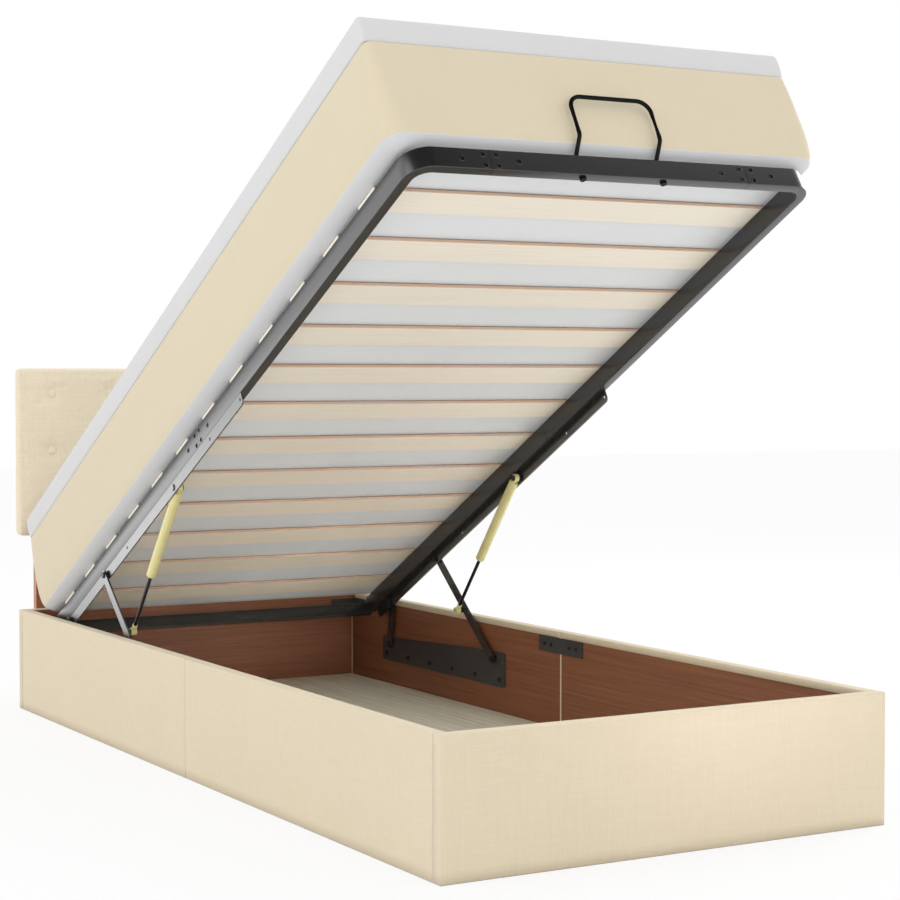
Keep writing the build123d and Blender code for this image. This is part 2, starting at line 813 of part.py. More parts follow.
def rod_clevis(side):
    """Eye on the rod's end, beside the front arm's stud"""
    half = clevis_thickness / 2
    eye = rod_along_x(clevis_radius, (-half, half), strut_length, 0)
    eye += round_along_y(clevis_neck_radius, strut_length - clevis_length, strut_length)
    eye -= rod_along_x(rod_radius, (-half - overrun, half + overrun), strut_length, 0)
    return on_line(Pos(side * strut_offset, 0, 0) * eye, strut_top, strut_angle)


def build():
    """All nodes by name"""
    middle_low = rail_middle - seam_gap / 2
    middle_high = rail_middle + seam_gap / 2
    nodes = {}
    for name, side in (("left", -1), ("right", 1)):
        nodes[f"side_board_{name}_foot"] = side_board(side, rail_start, middle_low)
        nodes[f"side_board_{name}_head"] = side_board(side, middle_high, rail_end)
        nodes[f"side_cover_{name}_foot"] = side_cover(side, rail_start, middle_low)
        nodes[f"side_cover_{name}_head"] = side_cover(side, middle_high, rail_end)
        nodes[f"rail_joiner_{name}"] = joiner_plate(side)
        nodes[f"floor_batten_{name}"] = floor_side_batten(side)
        nodes[f"headboard_leg_{name}"] = headboard_leg(side)
        nodes[f"hinge_plate_{name}"] = hinge_plate(side)
        nodes[f"front_arm_{name}"] = front_arm(side)
        nodes[f"rear_link_{name}"] = rear_link(side)
        nodes[f"strut_cylinder_{name}"] = strut_cylinder(side)
        nodes[f"strut_rod_{name}"] = strut_rod(side)
        nodes[f"rod_clevis_{name}"] = rod_clevis(side)
        nodes[f"frame_corner_{name}"] = on_platform(frame_corner(side))
        nodes[f"frame_side_{name}"] = on_platform(frame_side_tube(side))
        nodes[f"hinge_rail_{name}"] = on_platform(hinge_rail(side))
    nodes["foot_board"] = end_board(foot_y + cover_thickness, foot_board_inner)
    nodes["foot_cover"] = end_cover(foot_y, 1)
    nodes["head_board"] = end_board(head_y - cover_thickness, head_board_inner)
    nodes["head_cover"] = end_cover(head_y, -1)
    nodes["head_batten"] = head_batten()
    nodes["corner_brackets"] = corner_brackets()
    nodes["board_screws"] = board_screws()
    nodes["floor_cross_battens"] = floor_cross_battens()
    floor_middle = (foot_board_inner + head_board_inner) / 2
    nodes["floor_board_foot"] = floor_board(foot_board_inner + floor_gap, floor_middle - floor_gap / 2)
    nodes["floor_board_head"] = floor_board(floor_middle + floor_gap / 2, head_board_inner - floor_gap)
    nodes["headboard_core"] = headboard_core()
    nodes["headboard_pad"] = headboard_pad()
    nodes["headboard_buttons"] = headboard_buttons()
    nodes["headboard_bolts"] = headboard_bolts()
    nodes["hinge_plate_bolts"] = hinge_plate_bolts()
    nodes["base_pivots"] = base_pivots()
    foot_bar = frame_foot_bar()
    for side in (-1, 1):
        foot_bar -= wire_hole(side * wire_width / 2)
    nodes["frame_foot_bar"] = on_platform(foot_bar)
    nodes["frame_head_bar"] = on_platform(frame_head_bar())
    nodes["frame_sleeves"] = on_platform(frame_sleeves())
    nodes["slats"] = on_platform(slats())
    nodes["mattress_stop"] = on_platform(mattress_stop())
    nodes["stop_nuts"] = on_platform(stop_nuts())
    nodes["platform_pivots"] = on_platform(platform_pivots())
    nodes["mattress"] = on_platform(mattress())
    nodes["topper"] = on_platform(topper())
    return nodes


os.makedirs("parts", exist_ok=True)
for node_name, node_shape in build().items():
    export_step(node_shape, f"parts/{node_name}.step")
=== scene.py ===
import json
import math

import bmesh
import bpy
from bpy.props import FloatProperty, FloatVectorProperty, IntProperty, PointerProperty
from mathutils import Matrix, Vector, noise


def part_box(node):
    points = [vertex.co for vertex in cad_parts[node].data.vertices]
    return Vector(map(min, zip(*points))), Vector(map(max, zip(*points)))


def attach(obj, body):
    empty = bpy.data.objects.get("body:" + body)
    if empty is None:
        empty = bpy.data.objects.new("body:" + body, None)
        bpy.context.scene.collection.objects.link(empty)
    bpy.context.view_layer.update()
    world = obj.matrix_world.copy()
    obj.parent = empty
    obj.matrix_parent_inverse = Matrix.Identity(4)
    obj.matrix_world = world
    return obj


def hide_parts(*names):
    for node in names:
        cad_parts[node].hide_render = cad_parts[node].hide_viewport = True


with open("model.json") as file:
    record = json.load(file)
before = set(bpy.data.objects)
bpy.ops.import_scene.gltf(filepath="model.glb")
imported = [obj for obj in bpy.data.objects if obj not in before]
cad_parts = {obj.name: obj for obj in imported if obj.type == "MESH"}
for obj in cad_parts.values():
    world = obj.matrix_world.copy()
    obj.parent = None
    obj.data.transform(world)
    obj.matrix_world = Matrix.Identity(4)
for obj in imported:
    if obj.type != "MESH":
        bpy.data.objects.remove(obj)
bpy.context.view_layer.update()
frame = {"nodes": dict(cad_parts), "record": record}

bl_info = {
    "name": "Ottoman bed",
    "version": (1, 0, 0),
    "blender": (4, 5, 0),
    "location": "View3D > Sidebar > Ottoman bed",
    "description": "Dresses the storage bed's frame with its cloth, mattress, slats, steel and stage",
    "category": "Object",
}

# All sizes are in metres, in the bed's own frame: X across, +Y to the headboard, +Z up.
# The lifted platform has its own reach from the head end and level above the mattress top.
OPEN_ANGLE = math.radians(28.7)
ARM_ON_PLATFORM = (0.378, -0.265)
SIDES = (("left", -1), ("right", 1))


def joint_place(name):
    """Where a joint's axis lies at rest"""
    for joint in frame["record"]["behaviour"]["joints"]:
        if joint["name"] == name:
            return Vector(joint["pos_m"])
    raise RuntimeError(f"the frame has no joint {name}")


def platform_matrix():
    """Takes X, -reach and level onto the lifted platform"""
    turn = Matrix.Rotation(-OPEN_ANGLE, 4, "X")
    reach, level = ARM_ON_PLATFORM
    zero = joint_place("platform_tilt") - turn @ Vector((0, -reach, level))
    return Matrix.Translation(zero) @ turn


PLATFORM = platform_matrix()
PAD_LOW, PAD_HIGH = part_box("headboard_pad")

# Steps of the bent tubes' corners and edges, the share of a normal along the bed past which a slat's
# face counts as its edge, and the sharpest corner of a soft outline
BEND_STEPS = 12
TUBE_STEPS = 4
EDGE_SHARE = 0.6
ROUND_SHARE = 0.4987  # Just under half, so that a round wire keeps tiny flats
SHARPEST_CORNER = 0.004

# Headboard: a tuft ends at so many reaches, falls off at this rate, and holds the cloth above this pull
TUFT_END, TUFT_FALL, TUFT_HELD = 3, 1.6, 0.75
CLOTH = {"quality": 6, "mass": 0.25, "tension_stiffness": 22, "compression_stiffness": 22,
         "shear_stiffness": 12, "bending_stiffness": 5.0, "use_pressure": True,
         "uniform_pressure_force": 4.0, "shrink_min": -0.012}
CLOTH_FRAMES = 20
BUTTON_SHARES = ((0.98, 0.12), (1, 0.30), (0.93, 0.52), (0.74, 0.76), (0.45, 0.93), (0.16, 0.995), (0, 1))
BUTTON_FOOT_SHARE = 0.72
BUTTON_SUNK = 0.001

# Profiles of the soft pieces: how far each outline lies inside the piece's own outline, and its rise
MATTRESS_UNDER = (0.440, 0.40, 0.35, 0.30, 0.25, 0.20, 0.16, 0.12, 0.09, 0.065, 0.050)
MATTRESS_ROLL = ((0.034, 0), (0.0280, 0.0003), (0.0210, 0.0014), (0.0140, 0.0040), (0.0070, 0.0080),
                 (0.0010, 0.0122), (-0.0036, 0.0162))
MATTRESS_BORDER = ((-0.0036, 0.0162), (-0.0037, 0.0177), (-0.0060, 0.0260), (-0.0078, 0.0400),
                   (-0.0084, 0.0600), (-0.0080, 0.0850), (-0.0062, 0.1200), (-0.0038, 0.1600))
MATTRESS_SHOULDER = ((-0.0014, -0.0160), (-0.0006, -0.0060), (0.0012, -0.0018), (0.0060, 0))
MATTRESS_OVER = (0.02, 0.04, 0.08, 0.14, 0.20, 0.27, 0.34, 0.40, 0.440)
TOPPER_UNDER = (0.44, 0.34, 0.24, 0.15, 0.08, 0.045, 0.02)
TOPPER_SIDE = ((0.0095, 0.0), (0.0034, 0.0007), (0.0010, 0.0032), (-0.0003, 0.0110), (-0.0010, 0.0270),
               (-0.0003, 0.0430), (0.0012, 0.0492), (0.0040, 0.0522), (0.0095, 0.0531))
TOPPER_OVER = ((0.02, 0.0534), (0.05, 0.0541), (0.11, 0.0549))
TOPPER_FLAT = (0.17, 0.24, 0.34, 0.44)

# Screws: shares of the radius with their rise off the tube, and their places along and across a seam
SCREW_PROFILE = ((1.42, -0.0002), (1.36, 0.00022), (1.15, 0.00040), (1, 0.00032), (0.90, -0.0001),
                 (0, -0.0001))
# Share of the radius within which the screw's recess is painted near-black as shade
SCREW_SHADE_SHARE = 1.01
SCREW_PATTERN = ((-0.013, 0.011), (0.013, 0.011), (-0.013, -0.011), (0.013, -0.011), (-0.056, 0.0),
                 (0.056, 0.0))

# Rise below which the ticking counts as the flat underside, and the rises between which it puckers
FLAT_RISE = 0.0008
PUCKER_RISE = (0.0005, 0.022)

# Lamps: name of the power, place, aim, size and spread in degrees
LAMPS = (("key", (-4.6, -0.6, 2.4), (0, 0, 0.5), 2.6, 180.0),
         ("rim", (4.2, 0.6, 2.6), (0.4, 0, 0.2), 2.0, 180.0),
         ("low", (-0.6, -9.0, 0.9), (0, 0.6, 0.6), 4.0, 180.0),
         ("deep", (0.3, -6.5, 0.85), (0.1, 0.75, 0.32), 0.5, 8.0))


def colour(name, text, default):
    """A colour that a user can change"""
    return FloatVectorProperty(name=name, description=text, default=default, size=3, subtype="COLOR",
                               min=0, max=1)


def length(name, text, default, high=3.0):
    """A length that a user can change"""
    return FloatProperty(name=name, description=text, default=default, min=0, max=high, unit="LENGTH",
                         subtype="DISTANCE", precision=4)


def share(name, text, default):
    """A share between nothing and one"""
    return FloatProperty(name=name, description=text, default=default, min=0, max=1, subtype="FACTOR")


class BedFinishes(bpy.types.PropertyGroup):
    cover: colour("Cover", "Linen of the base", (0.73, 0.635, 0.47))
    # The headboard's tone is the cover's linen made lighter, as painted light for the dimmer light on its
    # front
    pad: colour("Headboard", "Linen of the headboard", (0.81, 0.71, 0.54))
    border: colour("Mattress border", "Smooth cloth round the mattress", (0.70, 0.615, 0.452))
    # The ticking is a pale cloth, its tone raised further as painted light for the dim underside of the
    # mattress
    ticking: colour("Ticking", "Pale cloth under the mattress", (0.82, 0.85, 0.875))
    # The rolled edge is the ticking's cloth painted darker: painted shade
    roll: colour("Rolled edge", "Grey white cloth of the mattress's rolled bottom edge", (0.69, 0.695, 0.71))
    jersey: colour("Topper", "White jersey of the topper", (0.67, 0.67, 0.675))
    board: colour("Boards", "Brown laminate inside the base", (0.22, 0.078, 0.031))
    hardboard: colour("Hardboard", "Pale hardboard of the storage floor", (0.80, 0.68, 0.55))
    leg: colour("Legs", "Reddish laminate of the headboard's legs", (0.36, 0.145, 0.068))
    steel: colour("Black steel", "Powder coat of the lifting frame", (0.0145, 0.0145, 0.015))
    strut: colour("Gas strut", "Pale yellow paint of the struts", (0.735, 0.68, 0.32))
    veneer: colour("Slat face", "Birch veneer of the slats", (0.95, 0.87, 0.75))
    ply: colour("Slat edge", "Cut plies along the slats' edges", (0.66, 0.45, 0.32))


class CoverSizes(bpy.types.PropertyGroup):
    edge: length("Edge radius", "Rounding of the cloth over a board's edge", 0.0035, 0.02)
    cloth: length("Cloth", "Thickness of the cloth", 0.0013, 0.01)
    fold: length("Fold", "Depth of the cloth's fold inside the rail", 0.014, 0.1)
    ripple: length("Ripple", "Height of the slow waves in the stretched cloth", 0.0005, 0.01)
    wave: length("Wave", "Size of the slow waves", 0.14, 1.0)
    fade: length("Fade", "Distance from a cover's ends over which the waves grow", 0.05, 0.5)
    cell: length("Cell", "Spacing of the cloth's mesh", 0.022, 0.2)


class HeadboardSizes(bpy.types.PropertyGroup):
    cell: length("Cell", "Spacing of the padded front's mesh", 0.0058, 0.05)
    corner: length("Corner radius", "Rounding of the pad's outline", 0.015, 0.1)
    inset: length("Front inset", "How far the padding starts behind the pad's front", 0.0025, 0.02)
    over: length("Front limit", "How far the swollen front may pass the pad's front", 0.0015, 0.02)
    line: length("Crease width", "Half the width of a crease", 0.005, 0.05)
    drift: length("Crease drift", "How far a crease wanders from its column", 0.003, 0.05)
    uneven: length("Unevenness", "Height of the front's slow unevenness", 0.0005, 0.01)
    edge: length("Edge radius", "Rounding from the front to the sides", 0.009, 0.05)
    tuft: length("Tuft depth", "How far a button pulls the front in", 0.0048, 0.02)
    tuft_reach: length("Tuft reach", "How far a tuft's hollow spreads", 0.0135, 0.1)
    crease: length("Crease depth", "Depth of the creases between buttons", 0.0009, 0.01)
    swell: length("Swell", "Most that the simulated front may rise", 0.0026, 0.05)
    button: length("Button radius", "Radius of the covered buttons", 0.0108, 0.05)
    button_height: length("Button height", "Height of the covered buttons", 0.0052, 0.05)
    columns: IntProperty(name="Columns", description="Buttons across", default=6, min=1, max=20)
    rows: IntProperty(name="Rows", description="Buttons down", default=3, min=1, max=10)
    pitch_x: length("Pitch across", "Distance between columns of buttons", 0.15)
    pitch_z: length("Pitch down", "Distance between rows of buttons", 0.14)
    top_drop: length("Top row drop", "Top row below the headboard's top", 0.062)


class MattressSizes(bpy.types.PropertyGroup):
    width: length("Width", "Mattress width", 0.900)
    length: length("Length", "Mattress length", 2.002)
    head_reach: length("Head reach", "Gap from the platform's zero to the head end", 0.004)
    height: length("Height", "Mattress height", 0.206)
    corner: length("Corner radius", "Rounding of the outline at the bottom", 0.042)
    top_corner: length("Top corner radius", "Rounding of the outline at the top", 0.015)
    clearance: length("Clearance", "Gap to the slats", 0.0011, 0.01)
    dip: length("Top dip", "How far the top lies below the topper", 0.0005, 0.01)
    rim: length("Rim", "Width along the edge where the ticking stays taut", 0.05, 0.2)
    sag: length("Sag", "How far the ticking hangs between slats", 0.0006, 0.02)
    puff: length("Puff", "Height of the border's slow waves", 0.0011, 0.02)
    pucker: length("Pucker", "Height of the puckers along the rolled edge", 0.0007, 0.01)
    cell: length("Cell", "Spacing of the mattress mesh", 0.022, 0.2)


class TopperSizes(bpy.types.PropertyGroup):
    length: length("Length", "Topper length", 2.000)
    head_reach: length("Head reach", "Gap from the platform's zero to the head end", 0.003)
    height: length("Height", "Topper height", 0.055)
    corner: length("Corner radius", "Rounding of the topper outline", 0.006)
    loose: length("Looseness", "Height of the sides' slow waves", 0.0009, 0.01)
    crimp: length("Crimp", "Height of the sides' small waves", 0.0004, 0.01)
    settle: length("Settling", "Most that the top sinks in places", 0.0012, 0.01)
    cell: length("Cell", "Spacing of the topper mesh", 0.018, 0.2)


class SlatSizes(bpy.types.PropertyGroup):
    count: IntProperty(name="Slats", description="Number of slats", default=12, min=1, max=30)
    first: length("First reach", "Middle of the slat nearest the head", 0.124)
    pitch: length("Pitch", "Distance between slats", 0.156)
    width: length("Width", "Width of a slat", 0.068)
    thickness: length("Thickness", "Thickness of a slat", 0.0079)
    length: length("Length", "Length of a slat", 0.846)
    edge: length("Edge radius", "Rounding of the slats' long edges", 0.0018, 0.01)
    lift: length("Lift", "Gap between the slats and the tubes", 0.00005, 0.01)


class SteelSizes(bpy.types.PropertyGroup):
    side: length("Frame half width", "Outer face of a side tube", 0.425)
    foot: length("Foot reach", "Outer face of the foot bar", 2.010)
    head: length("Head reach", "Outer face of the head bar", 0.025)
    width: length("Tube width", "Width of the tube", 0.020, 0.2)
    height: length("Tube height", "Height of the tube", 0.040, 0.2)
    radius: length("Tube radius", "Rounding of the tube's edges", 0.0014, 0.02)
    corner: length("Corner radius", "Outer radius of the bent foot corners", 0.048, 0.3)
    top: FloatProperty(name="Top level", description="Level of the tube's top", default=-0.214,
                       unit="LENGTH")
    side_seam: length("Side seam", "Reach of the seams in the side tubes", 0.992)
    foot_seam: length("Foot seam", "Distance of the foot bar's seams from the middle", 0.270)
    head_drop: length("Head bar drop", "How far the head bar hangs below the tubes' underside", 0.010, 0.1)
    head_height: length("Head bar height", "Height of the head bar", 0.028, 0.2)
    seam_gap: length("Seam gap", "Open line where two tubes meet", 0.0009, 0.01)
    screw: length("Screw radius", "Radius of the sunk screws at the seams", 0.0041, 0.02)
    screw_drop: length("Screw drop", "How far the screws sit below the tube's middle", 0.001, 0.02)
    proud: length("Screw seat", "How far the sunk screws lie off the tube", 0.0001, 0.01)


class StopSizes(bpy.types.PropertyGroup):
    wire: length("Wire", "Thickness of the wire", 0.0078, 0.02)
    half: length("Half width", "Half the width of the loop", 0.085, 0.4)
    below: length("Reach below", "How far the wire's ends pass the foot bar", 0.005, 0.05)
    above: length("Foot above", "Where the wire bends outwards, above the tube's top", 0.0045, 0.05)
    out: length("Outward reach", "How far the loop stands off the foot bar's middle", 0.028, 0.1)
    knee: length("Knee rise", "Rise of the wire's outward leg", 0.026, 0.1)
    rise: length("Loop rise", "Height of the upright part", 0.081, 0.3)
    low_bend: length("Low bend", "Radius of the bend at the foot bar", 0.007, 0.05)
    knee_bend: length("Knee bend", "Radius of the bend at the knee", 0.014, 0.05)
    top_bend: length("Top bend", "Radius of the loop's upper corners", 0.025, 0.1)


class StageSettings(bpy.types.PropertyGroup):
    eye: FloatVectorProperty(name="Camera place", description="Where the photograph was taken from",
                             default=(-2.1044, -3.9460, 0.8112), size=3, subtype="TRANSLATION")
    tilt: FloatProperty(name="Camera tilt", description="Turn of the camera up from straight down",
                        default=math.radians(87.992), subtype="ANGLE")
    heading: FloatProperty(name="Camera heading", description="Turn of the camera about Z",
                           default=math.radians(-29.85), subtype="ANGLE")
    lens: FloatProperty(name="Focal length", description="Focal length on a 36 mm sensor", default=84.35,
                        min=10, max=300)
    daylight: FloatProperty(name="Daylight", description="Strength of the even light from all round",
                            default=0.93, min=0, max=5)
    overhead: FloatProperty(name="Overhead light", description="Strength of the even light from above",
                            default=1.00, min=0, max=5)
    wall: FloatProperty(name="Far wall", default=2.0, min=0, max=5,
                        description="How bright the room behind the bed looks in the steel")
    near: FloatProperty(name="Near wall", default=0.65, min=0, max=5,
                        description="How bright the room before the bed looks in the steel")
    whiteness: share("Floor whiteness", "Share of the floor's look that no shadow reaches", 0.78)
    dim: share("Dim ceiling", "How bright the ceiling's left part looks in the steel", 0.02)
    horizon: FloatProperty(name="Far floor", description="How bright the far floor looks in the steel",
                           default=3.6, min=1, max=9)
    ceiling: share("Ceiling", "How bright the room above looks in the steel", 0.64)
    key: FloatProperty(name="Key light", description="Power of the large soft lamp", default=30.0, min=0,
                       max=1000, unit="POWER")
    rim: FloatProperty(name="Rim light", description="Power of the lamp beyond the far side rail",
                       default=60.0, min=0, max=1000, unit="POWER")
    deep: FloatProperty(name="Deep light", default=0.34, min=0, max=100, unit="POWER",
                        description="Power of the narrow far lamp that reaches in under the head end")
    low: FloatProperty(name="Low light", description="Power of the far lamp that lights the slats",
                       default=58.0, min=0, max=1000, unit="POWER")


GROUPS = (("bed_finishes", BedFinishes), ("bed_covers", CoverSizes), ("bed_headboard", HeadboardSizes),
          ("bed_mattress", MattressSizes), ("bed_topper", TopperSizes), ("bed_slats", SlatSizes),
          ("bed_steel", SteelSizes), ("bed_stop", StopSizes), ("bed_stage", StageSettings))


# Materials

def shader(name):
    """A new material with its node tree and its own shader"""
    material = bpy.data.materials.new(name)
    material.use_nodes = True
    tree = material.node_tree
    return material, tree, tree.nodes["Principled BSDF"]


def node(tree, kind, inputs=(), **settings):
    """Adds a node, sets its properties and its input values or links"""
    made = tree.nodes.new(kind)
    for key, value in settings.items():
        setattr(made, key, value)
    for key, value in dict(inputs).items():
        if isinstance(value, bpy.types.NodeSocket):
            tree.links.new(value, made.inputs[key])
        else:
            made.inputs[key].default_value = value
    return made


def place(tree, turn=0.0):
    """Object coordinates, turned about X so that a pattern lies along a tilted piece"""
    spot = node(tree, "ShaderNodeTexCoord")
    return node(tree, "ShaderNodeMapping", {"Vector": spot.outputs["Object"], "Rotation": (turn, 0, 0)}
                ).outputs["Vector"]


def stretched(tree, where, sizes, detail=2.0, roughness=0.5):
    """Noise whose grains have the given size along each axis"""
    scaled = node(tree, "ShaderNodeMapping", {"Vector": where, "Scale": [1 / size for size in sizes]})
    grain = node(tree, "ShaderNodeTexNoise", {"Vector": scaled.outputs["Vector"], "Scale": 1.0,
                                              "Detail": detail, "Roughness": roughness})
    return grain.outputs["Fac"]


def maths(tree, operation, first, second=0.0):
    """One sum on two values or links"""
    return node(tree, "ShaderNodeMath", {0: first, 1: second}, operation=operation).outputs["Value"]


def weighed(tree, first, second, share_of_first):
    """Adds two heights in shares that make one"""
    return maths(tree, "ADD", maths(tree, "MULTIPLY", first, share_of_first),
                 maths(tree, "MULTIPLY", second, 1 - share_of_first))


def threads(tree, where, across, along):
    """Height of a plain weave with uneven threads along X, Y and Z"""
    total = None
    for axis in range(3):
        sizes = [across] * 3
        sizes[axis] = along
        grain = stretched(tree, where, sizes)
        total = grain if total is None else maths(tree, "ADD", total, grain)
    return maths(tree, "MULTIPLY", total, 1 / 3)


def ranged(tree, value, low, high, start=0.0, end=1.0, interpolation="LINEAR"):
    """Maps a link's values from start to end onto low to high"""
    made = node(tree, "ShaderNodeMapRange", {"Value": value, "From Min": start, "From Max": end,
                                             "To Min": low, "To Max": high},
                interpolation_type=interpolation)
    return made.outputs["Result"]


def blended(tree, factor, low, high):
    """Mixes two colours, each given as a value or a link"""
    made = node(tree, "ShaderNodeMix", {"Factor": factor}, data_type="RGBA")
    for socket, value in ((made.inputs[6], low), (made.inputs[7], high)):
        if isinstance(value, bpy.types.NodeSocket):
            tree.links.new(value, socket)
        else:
            socket.default_value = (*value, 1)
    return made.outputs[2]


def between(tree, factor, low, high, spread=0.5):
    """Blends two colours by a factor whose middle values are stretched apart"""
    return blended(tree, ranged(tree, factor, 0.0, 1.0, 0.5 - spread / 2, 0.5 + spread / 2), low, high)


def shaded(tone, factor):
    """A colour made lighter or darker"""
    return tuple(min(1.0, channel * factor) for channel in tone)


def coated(tree, surface, settings):
    """Sets a shader's inputs from values or links"""
    for key, value in settings.items():
        if isinstance(value, bpy.types.NodeSocket):
            tree.links.new(value, surface.inputs[key])
        else:
            surface.inputs[key].default_value = value


def rough_bump(tree, surface, height, distance, strength):
    """Joins a height to the shader's normal"""
    bump = node(tree, "ShaderNodeBump", {"Height": height, "Distance": distance, "Strength": strength})
    tree.links.new(bump.outputs["Normal"], surface.inputs["Normal"])


def linen(name, tone, contrast=0.10, slub=0.0034, depth=0.0005, thread=0.0012):
    """Plain weave linen with fine threads, longer uneven slubs and slow mottling"""
    material, tree, surface = shader(name)
    where = place(tree)
    fine = threads(tree, where, thread, thread * 22)
    uneven = threads(tree, where, slub, slub * 30)
    mottle = stretched(tree, where, (0.16, 0.16, 0.16))
    height = weighed(tree, fine, uneven, 0.55)
    warm = between(tree, height, shaded(tone, 1 - contrast), shaded(tone, 1 + contrast), 0.30)
    aged = between(tree, mottle, shaded(tone, 0.97), shaded(tone, 1.03), 0.6)
    coated(tree, surface, {"Base Color": blended(tree, 0.35, warm, aged),
                           "Roughness": ranged(tree, fine, 0.85, 1.0), "Sheen Weight": 0.15,
                           "Sheen Roughness": 0.5, "Specular IOR Level": 0.2})
    rough_bump(tree, surface, height, depth, 0.5)
    return material


def knit(name, tone, rib=0.0022, contrast=0.04):
    """Smooth stretch cloth on the platform: fine ribs, broad soft unevenness and a little sheen"""
    material, tree, surface = shader(name)
    where = place(tree, OPEN_ANGLE)
    loops = threads(tree, where, rib, rib * 5)
    broad = stretched(tree, where, (0.09, 0.13, 0.09))
    shade = between(tree, loops, shaded(tone, 1 - contrast), shaded(tone, 1 + contrast), 0.4)
    slow = between(tree, broad, shaded(tone, 0.975), shaded(tone, 1.02), 0.6)
    coated(tree, surface, {"Base Color": blended(tree, 0.5, shade, slow), "Roughness": 0.9,
                           "Sheen Weight": 0.12, "Specular IOR Level": 0.2})
    rough_bump(tree, surface, maths(tree, "ADD", loops, maths(tree, "MULTIPLY", broad, 0.6)), 0.0004, 0.5)
    return material


def laminate(name, tone, along):
    """Printed wood grain under a satin film, with the grain along one axis"""
    material, tree, surface = shader(name)
    where = place(tree)
    sizes = [0.006] * 3
    sizes[along] = 0.35
    grain = stretched(tree, where, sizes, 4.0, 0.6)
    pores = [0.0012] * 3
    pores[along] = 0.03
    pore = stretched(tree, where, pores, 2.0)
    height = weighed(tree, grain, pore, 0.7)
    coated(tree, surface, {"Base Color": between(tree, height, shaded(tone, 0.62), shaded(tone, 1.45)),
                           "Roughness": ranged(tree, pore, 0.42, 0.62)})
    rough_bump(tree, surface, pore, 0.0002, 0.4)
    return material


def veneer(name, tone):
    """Birch veneer with pale grain along X"""
    material, tree, surface = shader(name)
    where = place(tree, OPEN_ANGLE)
    grain = stretched(tree, where, (0.28, 0.0045, 0.0045), 4.0, 0.6)
    fleck = stretched(tree, where, (0.02, 0.0011, 0.0011), 2.0)
    height = weighed(tree, grain, fleck, 0.65)
    boards = stretched(tree, where, (0.9, 0.16, 0.9), 0.0)
    tinted = between(tree, height, shaded(tone, 0.90), shaded(tone, 1.10), 0.4)
    board = between(tree, boards, shaded(tone, 0.94), (tone[0] * 1.05, tone[1] * 1.03, tone[2]))
    coated(tree, surface, {"Base Color": blended(tree, 0.4, tinted, board), "Roughness": 0.6})
    rough_bump(tree, surface, fleck, 0.0002, 0.4)
    return material


def plies(name, tone, top):
    """Cut edge of plywood: plies stacked along the level, with a dark band along the top as painted shadow
    of the mattress above
    """
    material, tree, surface = shader(name)
    where = place(tree, OPEN_ANGLE)
    layers = node(tree, "ShaderNodeTexWave", {"Vector": where, "Scale": 105.0, "Distortion": 0.6,
                                              "Detail": 2.0}, wave_type="BANDS", bands_direction="Z")
    fleck = stretched(tree, where, (0.03, 0.0012, 0.0012), 2.0)
    height = weighed(tree, layers.outputs["Fac"], fleck, 0.4)
    tinted = between(tree, height, shaded(tone, 0.85), shaded(tone, 1.20), 0.7)
    level = node(tree, "ShaderNodeSeparateXYZ", {"Vector": where})
    # Painted shadow: the top of the edge, where it meets the mattress, is darkened
    upper = ranged(tree, level.outputs["Z"], 0.0, 1.0, top - 0.0024, top - 0.0012)
    coated(tree, surface, {"Base Color": blended(tree, upper, tinted, shaded(tone, 0.32)),
                           "Roughness": 0.7})
    rough_bump(tree, surface, height, 0.0002, 0.4)
    return material


def powder_coat(name, tone, turn, roughness, index):
    """Black powder coat: orange peel, faint handling marks and a satin gloss"""
    material, tree, surface = shader(name)
    where = place(tree, turn)
    peel = stretched(tree, where, (0.0016, 0.0016, 0.0016), 1.0)
    marks = stretched(tree, where, (0.045, 0.045, 0.045), 4.0, 0.65)
    coated(tree, surface, {"Base Color": between(tree, marks, shaded(tone, 0.9), shaded(tone, 1.2), 0.6),
                           "Roughness": ranged(tree, marks, roughness - 0.015, roughness + 0.025),
                           "IOR": index})
    rough_bump(tree, surface, peel, 0.00006, 0.35)
    return material


def enamel(name, tone):
    """Satin paint on a strut, with slight unevenness and a few scuffs"""
    material, tree, surface = shader(name)
    roughness = 0.38
    where = place(tree)
    scuff = stretched(tree, where, (0.02, 0.02, 0.02), 5.0, 0.7)
    fine = stretched(tree, where, (0.002, 0.002, 0.002), 1.0)
    coated(tree, surface, {"Base Color": between(tree, scuff, shaded(tone, 0.90), shaded(tone, 1.06)),
                           "Roughness": ranged(tree, scuff, roughness - 0.08, roughness + 0.12)})
    rough_bump(tree, surface, fine, 0.00005, 0.3)
    return material


def plated(name, tone, roughness):
    """Plated or blackened bright metal with fine turning marks"""
    material, tree, surface = shader(name)
    where = place(tree)
    brushed = stretched(tree, where, (0.0006, 0.012, 0.0006), 2.0)
    cloud = stretched(tree, where, (0.012, 0.012, 0.012), 3.0)
    coated(tree, surface, {"Base Color": between(tree, cloud, shaded(tone, 0.85), shaded(tone, 1.12)),
                           "Roughness": ranged(tree, brushed, roughness - 0.08, roughness + 0.12),
                           "Metallic": 1.0})
    rough_bump(tree, surface, brushed, 0.00003, 0.3)
    return material


def slat_top():
    """Level of the slats' tops in the coordinates that are turned with the platform"""
    scene = bpy.context.scene
    top = PLATFORM @ Vector((0, 0, scene.bed_steel.top + scene.bed_slats.thickness))
    return (Matrix.Rotation(OPEN_ANGLE, 4, "X") @ top).z


